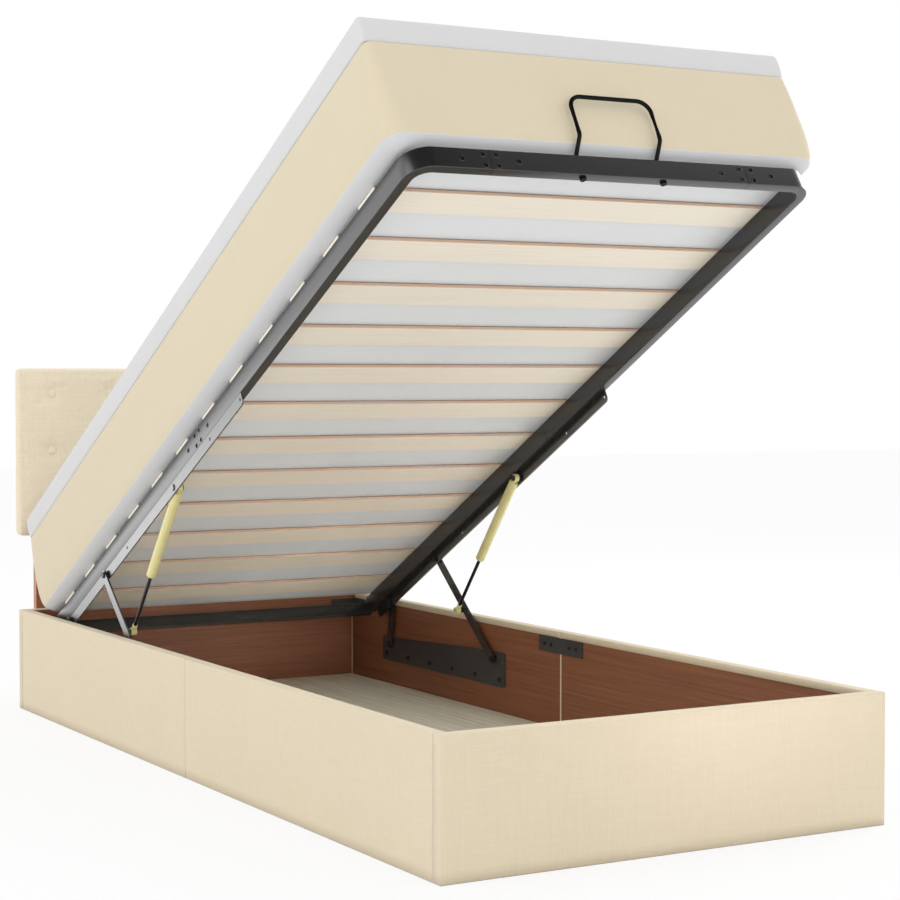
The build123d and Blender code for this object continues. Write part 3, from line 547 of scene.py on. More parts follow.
def finishes():
    """Makes every finish once and returns them by name"""
    tones = bpy.context.scene.bed_finishes
    turn = OPEN_ANGLE
    makers = {
        "cover_linen": (linen, tones.cover),
        # The headboard's linen is a lighter copy of the cover's: painted light
        "headboard_linen": (linen, tones.pad, 0.17, 0.0042, 0.0008),
        "border_cloth": (knit, tones.border),
        # The ticking's tone is partly its own pale colour, partly painted light
        "ticking": (knit, tones.ticking, 0.003),
        # The rolled edge's darker copy of the ticking is painted shade
        "roll_ticking": (knit, tones.roll, 0.003),
        "jersey": (knit, tones.jersey, 0.0026),
        "board_laminate": (laminate, tones.board, 1),
        "panel_laminate": (laminate, tones.board, 0),
        "hardboard": (laminate, tones.hardboard, 1),
        "leg_laminate": (laminate, tones.leg, 2),
        "slat_veneer": (veneer, tones.veneer),
        # The slats' edges carry a painted shadow line along their tops
        "slat_plies": (plies, tones.ply, slat_top()),
        "frame_black": (powder_coat, tones.steel, turn, 0.26, 1.6),
        "rail_black": (powder_coat, tones.steel, turn, 0.26, 2.05),
        "bracket_black": (powder_coat, shaded(tones.steel, 2.2), 0.0, 0.42, 1.6),
        "screw_black": (plated, (0.05, 0.05, 0.052), 0.4),
        "loop_black": (powder_coat, (0.003, 0.003, 0.003), turn, 0.45, 1.2),
        # Near-black painted shade in the screws' shallow recesses
        "screw_void": (powder_coat, (0.002, 0.002, 0.002), 0.0, 0.7, 1.3),
        "zinc": (plated, (0.55, 0.55, 0.56), 0.34),
        "strut_enamel": (enamel, tones.strut),
        "rod_black": (plated, (0.03, 0.03, 0.031), 0.25),
    }
    return {name: bpy.data.materials.get(name) or make(name, *values)
            for name, (make, *values) in makers.items()}


def dress(names, finish):
    """Gives carried-over nodes a finish"""
    for name in names:
        mesh = frame["nodes"][name].data
        mesh.materials.clear()
        mesh.materials.append(finish)


# Meshes

def finished(name, mesh, body, materials=()):
    """Makes a piece of a mesh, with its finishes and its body"""
    mesh.name = name
    for material in materials:
        mesh.materials.append(material)
    piece = bpy.data.objects.new(name, mesh)
    bpy.context.scene.collection.objects.link(piece)
    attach(piece, body)
    return piece


def mesh_of(form, smooth=True):
    """Turns a bmesh into a mesh and frees it"""
    mesh = bpy.data.meshes.new("form")
    form.to_mesh(mesh)
    form.free()
    if smooth:
        mesh.shade_smooth()
    return mesh


def clipped(value):
    """A value kept between nothing and one"""
    return max(0.0, min(1.0, value))


def wave(point, size, seed):
    """Slow noise between -1 and 1"""
    return noise.noise(Vector(point) / size + Vector((seed, seed * 0.7, seed * 1.3)))


def tree_group(name, sizes):
    """A geometry tree with a geometry input and output and named inputs for its sizes"""
    tree = bpy.data.node_groups.new(name, "GeometryNodeTree")
    face = tree.interface
    face.new_socket("Geometry", in_out="INPUT", socket_type="NodeSocketGeometry")
    for label, kind in sizes:
        face.new_socket(label, in_out="INPUT", socket_type=f"NodeSocket{kind}")
    face.new_socket("Geometry", in_out="OUTPUT", socket_type="NodeSocketGeometry")
    start = tree.nodes.new("NodeGroupInput")
    end = tree.nodes.new("NodeGroupOutput")
    return tree, start.outputs, end.inputs


def grown(mesh, tree, values, place_matrix):
    """Runs a geometry tree on a mesh with its inputs set, and returns the plain mesh that it makes"""
    host = bpy.data.objects.new("grown", mesh)
    bpy.context.scene.collection.objects.link(host)
    modifier = host.modifiers.new("tree", "NODES")
    modifier.node_group = tree
    for item in tree.interface.items_tree:
        if item.item_type == "SOCKET" and item.in_out == "INPUT" and item.name in values:
            modifier[item.identifier] = values[item.name]
    host.update_tag()
    bpy.context.view_layer.update()
    graph = bpy.context.evaluated_depsgraph_get()
    made = bpy.data.meshes.new_from_object(host.evaluated_get(graph), depsgraph=graph)
    host.modifiers.clear()
    bpy.data.objects.remove(host)
    made.transform(place_matrix)
    made.update()
    if not len(made.polygons):
        raise RuntimeError(f"{tree.name} made nothing")
    return made


def real_copies(tree, points, shape, **more):
    """Copies of a shape on points, as real geometry"""
    copies = node(tree, "GeometryNodeInstanceOnPoints", {"Points": points, "Instance": shape, **more})
    real = node(tree, "GeometryNodeRealizeInstances", {"Geometry": copies.outputs["Instances"]})
    return real.outputs[0]


def given_finish(tree, geometry, material, **more):
    """Geometry with a finish on its faces, or on those that a selection names"""
    return node(tree, "GeometryNodeSetMaterial", {"Geometry": geometry, "Material": material, **more}
                ).outputs[0]


def row_tree():
    """Repeats a shape in a straight row, with one finish on its faces and one on its edges"""
    tree, given, out = tree_group("repeat_in_row", (("Count", "Int"), ("First", "Float"), ("Pitch", "Float"),
                                                    ("Level", "Float"), ("Face", "Material"),
                                                    ("Edge", "Material")))
    start = node(tree, "ShaderNodeCombineXYZ", {"Y": maths(tree, "MULTIPLY", given["First"], -1.0),
                                                "Z": given["Level"]})
    stride = node(tree, "ShaderNodeCombineXYZ", {"Y": maths(tree, "MULTIPLY", given["Pitch"], -1.0)})
    line = node(tree, "GeometryNodeMeshLine", {"Count": given["Count"], "Start Location": start.outputs[0],
                                               "Offset": stride.outputs[0]})
    real = real_copies(tree, line.outputs["Mesh"], given["Geometry"])
    facing = node(tree, "GeometryNodeInputNormal")
    parts = node(tree, "ShaderNodeSeparateXYZ", {"Vector": facing.outputs[0]})
    side = node(tree, "FunctionNodeCompare", {0: maths(tree, "ABSOLUTE", parts.outputs["Y"]), 1: EDGE_SHARE},
                operation="GREATER_THAN")
    face = given_finish(tree, real, given["Face"])
    tree.links.new(given_finish(tree, face, given["Edge"], Selection=side.outputs[0]), out["Geometry"])
    return tree


def grid_tree():
    """Repeats a shape over a grid in the XY plane"""
    tree, given, out = tree_group("repeat_in_grid", (("Columns", "Int"), ("Rows", "Int"), ("Width", "Float"),
                                                     ("Depth", "Float"), ("Finish", "Material")))
    net = node(tree, "GeometryNodeMeshGrid", {"Size X": given["Width"], "Size Y": given["Depth"],
                                              "Vertices X": given["Columns"], "Vertices Y": given["Rows"]})
    real = real_copies(tree, net.outputs["Mesh"], given["Geometry"])
    tree.links.new(given_finish(tree, real, given["Finish"]), out["Geometry"])
    return tree


def swept_tree():
    """Sweeps a rounded tube or a round wire along a bent line"""
    tree, given, out = tree_group("swept_tube", (("Width", "Float"), ("Height", "Float"), ("Edge", "Float"),
                                                 ("Segments", "Int"), ("Finish", "Material")))
    path = node(tree, "GeometryNodeMeshToCurve", {"Mesh": given["Geometry"]})
    bend = node(tree, "GeometryNodeInputNamedAttribute", {"Name": "bend"}, data_type="FLOAT")
    curved = node(tree, "GeometryNodeFilletCurve", {"Curve": path.outputs[0], "Radius": bend.outputs[0],
                                                    "Count": BEND_STEPS}, mode="POLY")
    upright = node(tree, "GeometryNodeSetCurveNormal", {"Curve": curved.outputs[0]}, mode="Z_UP")
    outline = node(tree, "GeometryNodeCurvePrimitiveQuadrilateral", {"Width": given["Width"],
                                                                     "Height": given["Height"]},
                   mode="RECTANGLE")
    rounded = node(tree, "GeometryNodeFilletCurve", {"Curve": outline.outputs[0], "Radius": given["Edge"],
                                                     "Count": given["Segments"]}, mode="POLY")
    body = node(tree, "GeometryNodeCurveToMesh", {"Curve": upright.outputs[0],
                                                  "Profile Curve": rounded.outputs[0], "Fill Caps": True})
    real = node(tree, "GeometryNodeRealizeInstances", {"Geometry": body.outputs[0]})
    tree.links.new(given_finish(tree, real.outputs[0], given["Finish"]), out["Geometry"])
    return tree


def aimed_tree():
    """Sets a shape on each point of a mesh, its Z along the point's own aim"""
    tree, given, out = tree_group("set_on_points", (("Shape", "Object"), ("Void", "Material"),
                                                    ("Finish", "Material")))
    shape = node(tree, "GeometryNodeObjectInfo", {"Object": given["Shape"]})
    aim = node(tree, "GeometryNodeInputNamedAttribute", {"Name": "aim"}, data_type="FLOAT_VECTOR")
    turn = node(tree, "FunctionNodeAlignRotationToVector", {"Vector": aim.outputs[0]}, axis="Z")
    real = real_copies(tree, given["Geometry"], shape.outputs["Geometry"], Rotation=turn.outputs[0])
    # Faces marked deep take the near-black painted shade
    deep = node(tree, "GeometryNodeInputNamedAttribute", {"Name": "deep"}, data_type="BOOLEAN")
    plain = given_finish(tree, real, given["Finish"])
    tree.links.new(given_finish(tree, plain, given["Void"], Selection=deep.outputs[0]), out["Geometry"])
    return tree


def tree_named(name, make):
    """A geometry tree, made once"""
    return bpy.data.node_groups.get(name) or make()


def bent_line(points, bends):
    """A line of edges through points, each with the radius of its bend"""
    mesh = bpy.data.meshes.new("line")
    mesh.from_pydata(points, [(i, i + 1) for i in range(len(points) - 1)], [])
    mesh.attributes.new("bend", "FLOAT", "POINT").data.foreach_set("value", bends)
    return mesh


def aimed_points(places):
    """Loose points, each with the direction that its shape faces"""
    mesh = bpy.data.meshes.new("points")
    mesh.from_pydata([spot for spot, _ in places], [], [])
    aims = [value for _, aim in places for value in aim]
    mesh.attributes.new("aim", "FLOAT_VECTOR", "POINT").data.foreach_set("vector", aims)
    return mesh


def turned_profile(profile, segments):
    """Closed form of revolution about Z from a list of radius and height"""
    form = bmesh.new()
    rings = []
    for radius, height in profile:
        if radius == 0:
            rings.append([form.verts.new((0, 0, height))])
            continue
        ring = []
        for step in range(segments):
            angle = 2 * math.pi * step / segments
            ring.append(form.verts.new((radius * math.cos(angle), radius * math.sin(angle), height)))
        rings.append(ring)
    for low, high in zip(rings, rings[1:]):
        for step in range(segments):
            after = (step + 1) % segments
            corners = [low[step % len(low)], low[after % len(low)], high[after % len(high)],
                       high[step % len(high)]]
            form.faces.new(list(dict.fromkeys(corners)))
    bmesh.ops.recalc_face_normals(form, faces=form.faces)
    return form


def rounded_ring(width, span, radius, cell_x, cell_y, corner_steps):
    """Outline of a rounded rectangle round the origin, counter-clockwise, with its outward directions"""
    ring = []
    half_x, half_y = width / 2 - radius, span / 2 - radius
    for quarter, (sign_x, sign_y) in enumerate(((1, 1), (-1, 1), (-1, -1), (1, -1))):
        centre = (sign_x * half_x, sign_y * half_y)
        for step in range(corner_steps + 1):
            angle = math.pi / 2 * (quarter + step / corner_steps)
            out = (math.cos(angle), math.sin(angle))
            ring.append(((centre[0] + radius * out[0], centre[1] + radius * out[1]), out))
        along_x = quarter % 2 == 0
        count = cell_x if along_x else cell_y
        reach = 2 * (half_x if along_x else half_y)
        way = ((-1, 0), (0, -1), (1, 0), (0, 1))[quarter]
        last, out = ring[-1]
        for step in range(1, count):
            move = reach * step / count
            ring.append(((last[0] + way[0] * move, last[1] + way[1] * move), out))
    return ring


def ringed_block(width, span, cell, stations, shift, shape, corner_steps):
    """Closed soft form: rounded outlines, each with its inset, level and corner, closed by a flat face at
    both ends, and moved by a shape. Returns the form and its bands of faces."""
    form = bmesh.new()
    cell_x = max(4, round(width / cell))
    cell_y = max(4, round(span / cell))
    layers = []
    for inset, level, radius in stations:
        corner = max(radius - max(inset, 0), SHARPEST_CORNER)
        verts = []
        for (x, y), out in rounded_ring(width - 2 * inset, span - 2 * inset, corner, cell_x, cell_y,
                                        corner_steps):
            spot = Vector((x, y + shift, level))
            verts.append(form.verts.new(spot + shape(spot, out)))
        layers.append(verts)
    bands = []
    for low, high in zip(layers, layers[1:]):
        band = []
        for step in range(len(low)):
            after = (step + 1) % len(low)
            band.append(form.faces.new((low[step], low[after], high[after], high[step])))
        bands.append(band)
    form.faces.new(list(reversed(layers[0])))
    form.faces.new(layers[-1])
    bmesh.ops.recalc_face_normals(form, faces=form.faces)
    return form, bands


# Operators

class BedOperator:
    """What all of the bed's operators share"""
    bl_options = {"REGISTER", "UNDO"}


def cover_form(low, high, inside, sizes):
    """Cloth pulled over a board: outer face, top and a fold on the inside, open below"""
    form = bmesh.new()
    bmesh.ops.create_cube(form, size=1)
    size = high - low
    bmesh.ops.scale(form, vec=size, verts=form.verts)
    bmesh.ops.translate(form, vec=(low + high) / 2, verts=form.verts)
    thin = 0 if size.x < size.y else 1
    long = 1 - thin
    inner = low[thin] if inside < 0 else high[thin]
    fold_level = high.z - sizes.fold
    steep, tiny = 0.9, 1e-5

    def cut(axis, value):
        """Cuts the form by a plane across an axis"""
        spot, way = Vector((0, 0, 0)), Vector((0, 0, 0))
        spot[axis], way[axis] = value, 1
        bmesh.ops.bisect_plane(form, geom=form.verts[:] + form.edges[:] + form.faces[:], plane_co=spot,
                               plane_no=way)

    def is_open(face):
        """Whether the cloth leaves a face of the board bare"""
        middle = face.calc_center_median()
        inside_wall = abs(middle[thin] - inner) < tiny and abs(face.normal[thin]) > steep
        return face.normal.z < -steep or (inside_wall and middle.z < fold_level)

    cut(2, fold_level)
    form.normal_update()
    bmesh.ops.delete(form, geom=[face for face in form.faces if is_open(face)], context="FACES")
    rim = [edge for edge in form.edges if len(edge.link_faces) == 2
           and edge.link_faces[0].normal.dot(edge.link_faces[1].normal) < 0.5]
    bmesh.ops.bevel(form, geom=rim, offset=sizes.edge, segments=3, profile=0.6, affect="EDGES",
                    clamp_overlap=True)
    for axis in (long, 2):
        steps = max(2, round(size[axis] / sizes.cell))
        for step in range(1, steps):
            cut(axis, low[axis] + size[axis] * step / steps)
    form.normal_update()
    for vert in form.verts:
        away = min(vert.co[long] - low[long], high[long] - vert.co[long])
        hold = min(1.0, max(0.0, away) / sizes.fade)
        pull = -abs(wave(vert.co, sizes.wave, 3.1)) * hold * sizes.ripple
        vert.co += vert.normal * pull
    return form


class BED_OT_covers(BedOperator, bpy.types.Operator):
    """Linen over the side rails, the foot panel and the head panel, with thickness and a fold turned down
    inside
    """
    bl_idname = "bed.covers"
    bl_label = "Base covers"

    def execute(self, context):
        sizes = context.scene.bed_covers
        inward = {"foot_cover": 1, "head_cover": -1}
        for side, sign in SIDES:
            for end in ("foot", "head"):
                inward[f"side_cover_{side}_{end}"] = -sign
        for name, inside in inward.items():
            mesh = mesh_of(cover_form(*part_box(name), inside, sizes))
            piece = finished(f"{name}_cloth", mesh, "base", [finishes()["cover_linen"]])
            wall = piece.modifiers.new("cloth", "SOLIDIFY")
            wall.thickness = sizes.cloth
            wall.offset = -1
            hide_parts(name)
        return {"FINISHED"}


class BED_OT_boards(BedOperator, bpy.types.Operator):
    """Brown laminate on the boards, battens, storage floor and headboard legs"""
    bl_idname = "bed.boards"
    bl_label = "Boards"

    def execute(self, context):
        found = finishes()
        lengthwise = [f"side_board_{side}_{end}" for side in ("left", "right") for end in ("foot", "head")]
        lengthwise += ["floor_batten_left", "floor_batten_right"]
        dress(lengthwise, found["board_laminate"])
        dress(("floor_board_foot", "floor_board_head"), found["hardboard"])
        dress(("foot_board", "head_board", "head_batten", "floor_cross_battens", "headboard_core"),
              found["panel_laminate"])
        dress(("headboard_leg_left", "headboard_leg_right"), found["leg_laminate"])
        dress(("headboard_bolts",), found["zinc"])
        return {"FINISHED"}


def button_places(sizes):
    """X and Z of the headboard's buttons"""
    places = []
    for row in range(sizes.rows):
        z = PAD_HIGH.z - sizes.top_drop - row * sizes.pitch_z
        for column in range(sizes.columns):
            places.append(((column - (sizes.columns - 1) / 2) * sizes.pitch_x, z))
    return places


def pad_shell(sizes):
    """Closed pad: a fine front, rounded edges and a plain back"""
    width, rise = PAD_HIGH.x - PAD_LOW.x, PAD_HIGH.z - PAD_LOW.z
    middle = Vector(((PAD_LOW.x + PAD_HIGH.x) / 2, 0, (PAD_LOW.z + PAD_HIGH.z) / 2))
    columns = round(width / sizes.cell)
    rows = round(rise / sizes.cell)
    half_x, half_z = width / 2, rise / 2
    edge, corner = sizes.edge, sizes.corner
    front, back = PAD_LOW.y + sizes.inset, PAD_HIGH.y
    form = bmesh.new()

    def spot(x, z, y):
        over_x, over_z = max(0, abs(x) - (half_x - corner)), max(0, abs(z) - (half_z - corner))
        reach = math.hypot(over_x, over_z)
        if over_x > 0 and over_z > 0 and reach > corner:
            x = math.copysign(half_x - corner + over_x / reach * corner, x)
            z = math.copysign(half_z - corner + over_z / reach * corner, z)
        return form.verts.new((middle.x + x, y, middle.z + z))

    def inset(value, half, drawn):
        return math.copysign(min(abs(value), half - drawn), value)

    grid = []
    for j in range(rows + 1):
        line = []
        for i in range(columns + 1):
            x, z = -half_x + width * i / columns, -half_z + rise * j / rows
            line.append(spot(x * (1 - edge / half_x), z * (1 - edge / half_z), front))
        grid.append(line)
    for j in range(rows):
        for i in range(columns):
            form.faces.new((grid[j][i], grid[j][i + 1], grid[j + 1][i + 1], grid[j + 1][i]))
    border = (grid[0] + [line[-1] for line in grid[1:]] + grid[-1][-2::-1]
              + [line[0] for line in grid[-2:0:-1]])
    last = border
    steps = [(edge * (1 - math.sin(a)), front + edge * (1 - math.cos(a)))
             for a in (math.pi / 2 * s / 4 for s in range(1, 5))]
    steps += [(0.0, front + (back - front) * s / 4) for s in (2, 3)]
    steps += [(edge * 0.12, back - edge * 0.12), (edge * 0.6, back)]
    for drawn, y in steps:
        ring = []
        for vert in border:
            x = (vert.co.x - middle.x) / (1 - edge / half_x)
            z = (vert.co.z - middle.z) / (1 - edge / half_z)
            ring.append(spot(x * (1 - drawn / half_x), z * (1 - drawn / half_z), y))
        for step in range(len(border)):
            after = (step + 1) % len(border)
            form.faces.new((last[step], last[after], ring[after], ring[step]))
        last = ring
    form.faces.new(list(reversed(last)))
    bmesh.ops.recalc_face_normals(form, faces=form.faces)
    return form, grid


def tuft_pull(x, z, places, sizes):
    """How far the front is pulled in at a place: 1 at a button, 0 away from it"""
    pull = 0.0
    for bx, bz in places:
        away = math.hypot(x - bx, z - bz) / sizes.tuft_reach
        if away < TUFT_END:
            pull = max(pull, math.exp(-away * away * TUFT_FALL))
    return pull


def simulate_front(piece, held, sizes):
    """Lets pressure swell the padded front between its held buttons and edges"""
    group = piece.vertex_groups.new(name="held")
    for index, weight in held.items():
        group.add([index], weight, "REPLACE")
    start = [v.co.copy() for v in piece.data.vertices]
    cloth = piece.modifiers.new("swell", "CLOTH")
    settings = cloth.settings
    settings.vertex_group_mass = "held"
    for key, value in CLOTH.items():
        setattr(settings, key, value)
    settings.effector_weights.gravity = 0
    scene = bpy.context.scene
    for number in range(1, CLOTH_FRAMES + 1):
        scene.frame_set(number)
    graph = bpy.context.evaluated_depsgraph_get()
    swollen = piece.evaluated_get(graph).data
    moved = [v.co.copy() for v in swollen.vertices]
    piece.modifiers.remove(cloth)
    scene.frame_set(1)
    for vert, was, now in zip(piece.data.vertices, start, moved):
        step = now - was
        if step.length > sizes.swell:
            step *= sizes.swell / step.length
        vert.co = was + step
    piece.vertex_groups.clear()


class BED_OT_headboard_pad(BedOperator, bpy.types.Operator):
    """Padded headboard cover, swollen by a cloth simulation between its buttons"""
    bl_idname = "bed.headboard_pad"
    bl_label = "Headboard pad"

    def execute(self, context):
        sizes = context.scene.bed_headboard
        places = button_places(sizes)
        form, grid = pad_shell(sizes)
        form.verts.index_update()
        front = set()
        rows, columns = len(grid), len(grid[0])
        for j, line in enumerate(grid):
            for i, vert in enumerate(line):
                if 1 < i < columns - 2 and 1 < j < rows - 2:
                    front.add(vert.index)
        held = {}
        for vert in form.verts:
            pull = tuft_pull(vert.co.x, vert.co.z, places, sizes) if vert.index in front else 0.0
            if vert.index not in front:
                held[vert.index] = 1.0
            else:
                vert.co.y += sizes.tuft * pull
                if pull > TUFT_HELD:
                    held[vert.index] = 1.0
        mesh = mesh_of(form)
        piece = finished("headboard_upholstery", mesh, "base",
                         [finishes()["headboard_linen"]])
        simulate_front(piece, held, sizes)
        lowest = PAD_LOW.y - sizes.over
        crease_x = sorted({x for x, _ in places})
        for vert in piece.data.vertices:
            if vert.index not in front:
                continue
            x, z = vert.co.x, vert.co.z
            fade = 1.0 if z < PAD_HIGH.z - sizes.top_drop else max(0.0, (PAD_HIGH.z - z) / sizes.top_drop)
            near = min(abs(x - column + sizes.drift * wave((x, 0, z), 0.08, 2.0)) for column in crease_x)
            vert.co.y += sizes.crease * fade * math.exp(-(near / sizes.line) ** 2)
            vert.co.y += sizes.uneven * wave((x, 0, z), 0.045, 5.0)
            vert.co.y = max(vert.co.y, lowest)
        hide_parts("headboard_pad")
        return {"FINISHED"}


class BED_OT_headboard_buttons(BedOperator, bpy.types.Operator):
    """Covered buttons sunk in the headboard's tufts"""
    bl_idname = "bed.headboard_buttons"
    bl_label = "Headboard buttons"

    def execute(self, context):
        sizes = context.scene.bed_headboard
        shape = [(across * sizes.button, rise * sizes.button_height) for across, rise in BUTTON_SHARES]
        low = mesh_of(turned_profile([(0, -BUTTON_SUNK), (BUTTON_FOOT_SHARE * sizes.button, -BUTTON_SUNK)]
                                     + shape, 20))
        seat = PAD_LOW.y + sizes.inset + sizes.tuft
        centre = PAD_HIGH.z - sizes.top_drop - (sizes.rows - 1) * sizes.pitch_z / 2
        turn = Matrix.Translation((0, seat, centre)) @ Matrix.Rotation(math.pi / 2, 4, "X")
        mesh = grown(low, tree_named("repeat_in_grid", grid_tree),
                     {"Columns": sizes.columns, "Rows": sizes.rows,
                      "Width": sizes.pitch_x * (sizes.columns - 1),
                      "Depth": sizes.pitch_z * (sizes.rows - 1),
                      "Finish": finishes()["headboard_linen"]}, turn)
        piece = finished("headboard_covered_buttons", mesh, "base")
        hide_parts("headboard_buttons")
        return {"FINISHED"}


def smooth_between(points, count):
    """Catmull-Rom line through points of two values"""
    made = []
    ends = [points[0], *points, points[-1]]
    for before, start, end, after in zip(ends, ends[1:], ends[2:], ends[3:]):
        for step in range(count):
            t = step / count
            made.append(tuple(0.5 * (2 * s + (e - b) * t + (2 * b - 5 * s + 4 * e - a) * t * t
                                     + (3 * s - b - 3 * e + a) * t * t * t)
                              for b, s, e, a in zip(before, start, end, after)))
    made.append(points[-1])
    return made


class BED_OT_mattress(BedOperator, bpy.types.Operator):
    """Mattress with a swelling cream border, a rolled pale bottom edge and ticking sagging between slats"""
    bl_idname = "bed.mattress"
    bl_label = "Mattress"

    def execute(self, context):
        sizes = context.scene.bed_mattress
        slats = context.scene.bed_slats
        found = finishes()
        bottom = -sizes.height + sizes.clearance
        top = -sizes.dip
        middle = -(sizes.head_reach + sizes.length / 2)
        slat_spots = [slats.first + slats.pitch * number for number in range(slats.count)]
        inner = [(inset, bottom) for inset in MATTRESS_UNDER]
        roll = smooth_between([(inset, bottom + rise) for inset, rise in MATTRESS_ROLL], 3)
        border = smooth_between([(inset, bottom + rise) for inset, rise in MATTRESS_BORDER]
                                + [(inset, top + rise) for inset, rise in MATTRESS_SHOULDER], 4)[1:]
        upper = [(inset, top) for inset in MATTRESS_OVER]
        profile = [(inset, level, sizes.corner + (sizes.top_corner - sizes.corner) * (level - bottom)
                    / (top - bottom)) for inset, level in inner + roll + border + upper]

        def sag_between_slats(x, reach):
            """How far the ticking hangs: nothing on a slat or near the rim"""
            near = min(abs(reach - place) for place in slat_spots)
            free = (near - slats.width / 2) / (slats.pitch / 2 - slats.width / 2)
            edge = min(sizes.width / 2 - abs(x), reach - sizes.head_reach,
                       sizes.head_reach + sizes.length - reach)
            return (sizes.sag * math.sin(clipped(free) * math.pi / 2)
                    * clipped((edge - sizes.rim) / sizes.rim))

        def shape(spot, out):
            rise = spot.z - bottom
            sag = sag_between_slats(spot.x, -spot.y) if rise < FLAT_RISE else 0.0
            ease = max(0.0, math.sin(math.pi * clipped(rise / sizes.height))) ** 0.5
            puff = sizes.puff * wave(spot, 0.22, 1.7) * ease
            if PUCKER_RISE[0] < rise < PUCKER_RISE[1]:
                puff += sizes.pucker * wave(spot, 0.035, 6.0)
            return Vector((out[0] * puff, out[1] * puff, -sag))

        form, bands = ringed_block(sizes.width, sizes.length, sizes.cell, profile, middle, shape, 10)
        roll_end = len(inner) + len(roll) - 1
        border_end = roll_end + len(border)
        for first, last, slot in ((len(inner), roll_end, 1), (roll_end, border_end, 2)):
            for band in bands[first:last]:
                for face in band:
                    face.material_index = slot
        mesh = mesh_of(form)
        mesh.transform(PLATFORM)
        # Slot 1, the rolled edge, takes the ticking's cloth painted darker as shade
        piece = finished("mattress_ticked", mesh, "platform",
                         [found["ticking"], found["roll_ticking"], found["border_cloth"]])
        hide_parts("mattress")
        return {"FINISHED"}


class BED_OT_topper(BedOperator, bpy.types.Operator):
    """White topper with plump rounded edges that lies on the mattress"""
    bl_idname = "bed.topper"
    bl_label = "Topper"

    def execute(self, context):
        sizes = context.scene.bed_topper
        width = context.scene.bed_mattress.width
        high = sizes.height
        middle = -(sizes.head_reach + sizes.length / 2)
        profile = [(inset, level, sizes.corner) for inset, level in
                   [(inset, 0.0) for inset in TOPPER_UNDER] + smooth_between(TOPPER_SIDE, 3)
                   + list(TOPPER_OVER) + [(inset, high) for inset in TOPPER_FLAT]]

        def shape(spot, out):
            rise = clipped(spot.z / high)
            loose = sizes.loose * wave(spot, 0.16, 8.0) + sizes.crimp * wave(spot, 0.05, 9.0)
            settle = 0.0
            if rise > 0.9:
                settle = -sizes.settle * (0.5 + 0.5 * wave(spot, 0.30, 4.0))
            return Vector((out[0] * loose * rise, out[1] * loose * rise, settle))

        form, _ = ringed_block(width, sizes.length, sizes.cell, profile, middle, shape, 6)
        mesh = mesh_of(form)
        mesh.transform(PLATFORM)
        piece = finished("topper_jersey", mesh, "platform", [finishes()["jersey"]])
        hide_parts("topper")
        return {"FINISHED"}


class BED_OT_slats(BedOperator, bpy.types.Operator):
    """Slats with eased edges, veneer faces and cut plies along their edges, with a painted shadow line along
    the edges' tops
    """
    bl_idname = "bed.slats"
    bl_label = "Slats"

    def execute(self, context):
        sizes = context.scene.bed_slats
        steel = context.scene.bed_steel
        form = bmesh.new()
        bmesh.ops.create_cube(form, size=1)
        bmesh.ops.scale(form, vec=(sizes.length, sizes.width, sizes.thickness), verts=form.verts)
        bmesh.ops.bevel(form, geom=form.edges, offset=sizes.edge, segments=3, profile=0.5, affect="EDGES")
        found = finishes()
        level = steel.top + sizes.thickness / 2 + sizes.lift
        mesh = grown(mesh_of(form, smooth=False), tree_named("repeat_in_row", row_tree),
                     {"Count": sizes.count, "First": sizes.first, "Pitch": sizes.pitch, "Level": level,
                      "Face": found["slat_veneer"], "Edge": found["slat_plies"]}, PLATFORM)
        piece = finished("slat_boards", mesh, "platform")
        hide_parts("slats")
        return {"FINISHED"}


class BED_OT_tube_frame(BedOperator, bpy.types.Operator):
    """Steel tube frame with rounded edges, bent foot corners and open lines at its seams"""
    bl_idname = "bed.tube_frame"
    bl_label = "Tube frame"

    def execute(self, context):
        sizes = context.scene.bed_steel
        black = finishes()["frame_black"]
        level = sizes.top - sizes.height / 2
        half = sizes.width / 2
        side, foot, head = sizes.side - half, sizes.foot - half, sizes.head + half
        gap, bend = sizes.seam_gap / 2, sizes.corner - half
        lengths = {"frame_foot_bar": [(-sizes.foot_seam + gap, foot), (sizes.foot_seam - gap, foot)],
                   "frame_head_bar": [(-side + half, head), (side - half, head)]}
        for name, sign in SIDES:
            lengths[f"frame_corner_{name}"] = [(sign * (sizes.foot_seam + gap), foot), (sign * side, foot),
                                               (sign * side, sizes.side_seam + gap)]
            lengths[f"frame_side_{name}"] = [(sign * side, sizes.side_seam - gap), (sign * side, sizes.head)]
        for name, points in lengths.items():
            high, middle = sizes.height, level
            if name == "frame_head_bar":
                high = sizes.head_height
                middle = sizes.top - sizes.height - sizes.head_drop + high / 2
            bends = [0.0, *[bend] * (len(points) - 2), 0.0]
            line = bent_line([(x, -reach, middle) for x, reach in points], bends)
            mesh = grown(line, tree_named("swept_tube", swept_tree),
                         {"Width": sizes.width, "Height": high, "Edge": sizes.radius,
                          "Segments": TUBE_STEPS, "Finish": black}, PLATFORM)
            mesh.shade_smooth()
            piece = finished(f"{name}_tube", mesh, "platform")
            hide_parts(name)
        return {"FINISHED"}


def sunk_screw(radius):
    """Sunk screw: a raised rim round a shallow recess that is painted near-black as shade"""
    mesh = mesh_of(turned_profile([(radius * across, rise) for across, rise in SCREW_PROFILE], 18))
    # The recess's faces are marked for the painted shade
    deep = mesh.attributes.new("deep", "BOOLEAN", "FACE")
    deep.data.foreach_set("value", [max(math.hypot(*mesh.vertices[v].co.xy) for v in face.vertices)
                                    < radius * SCREW_SHADE_SHARE for face in mesh.polygons])
    return mesh


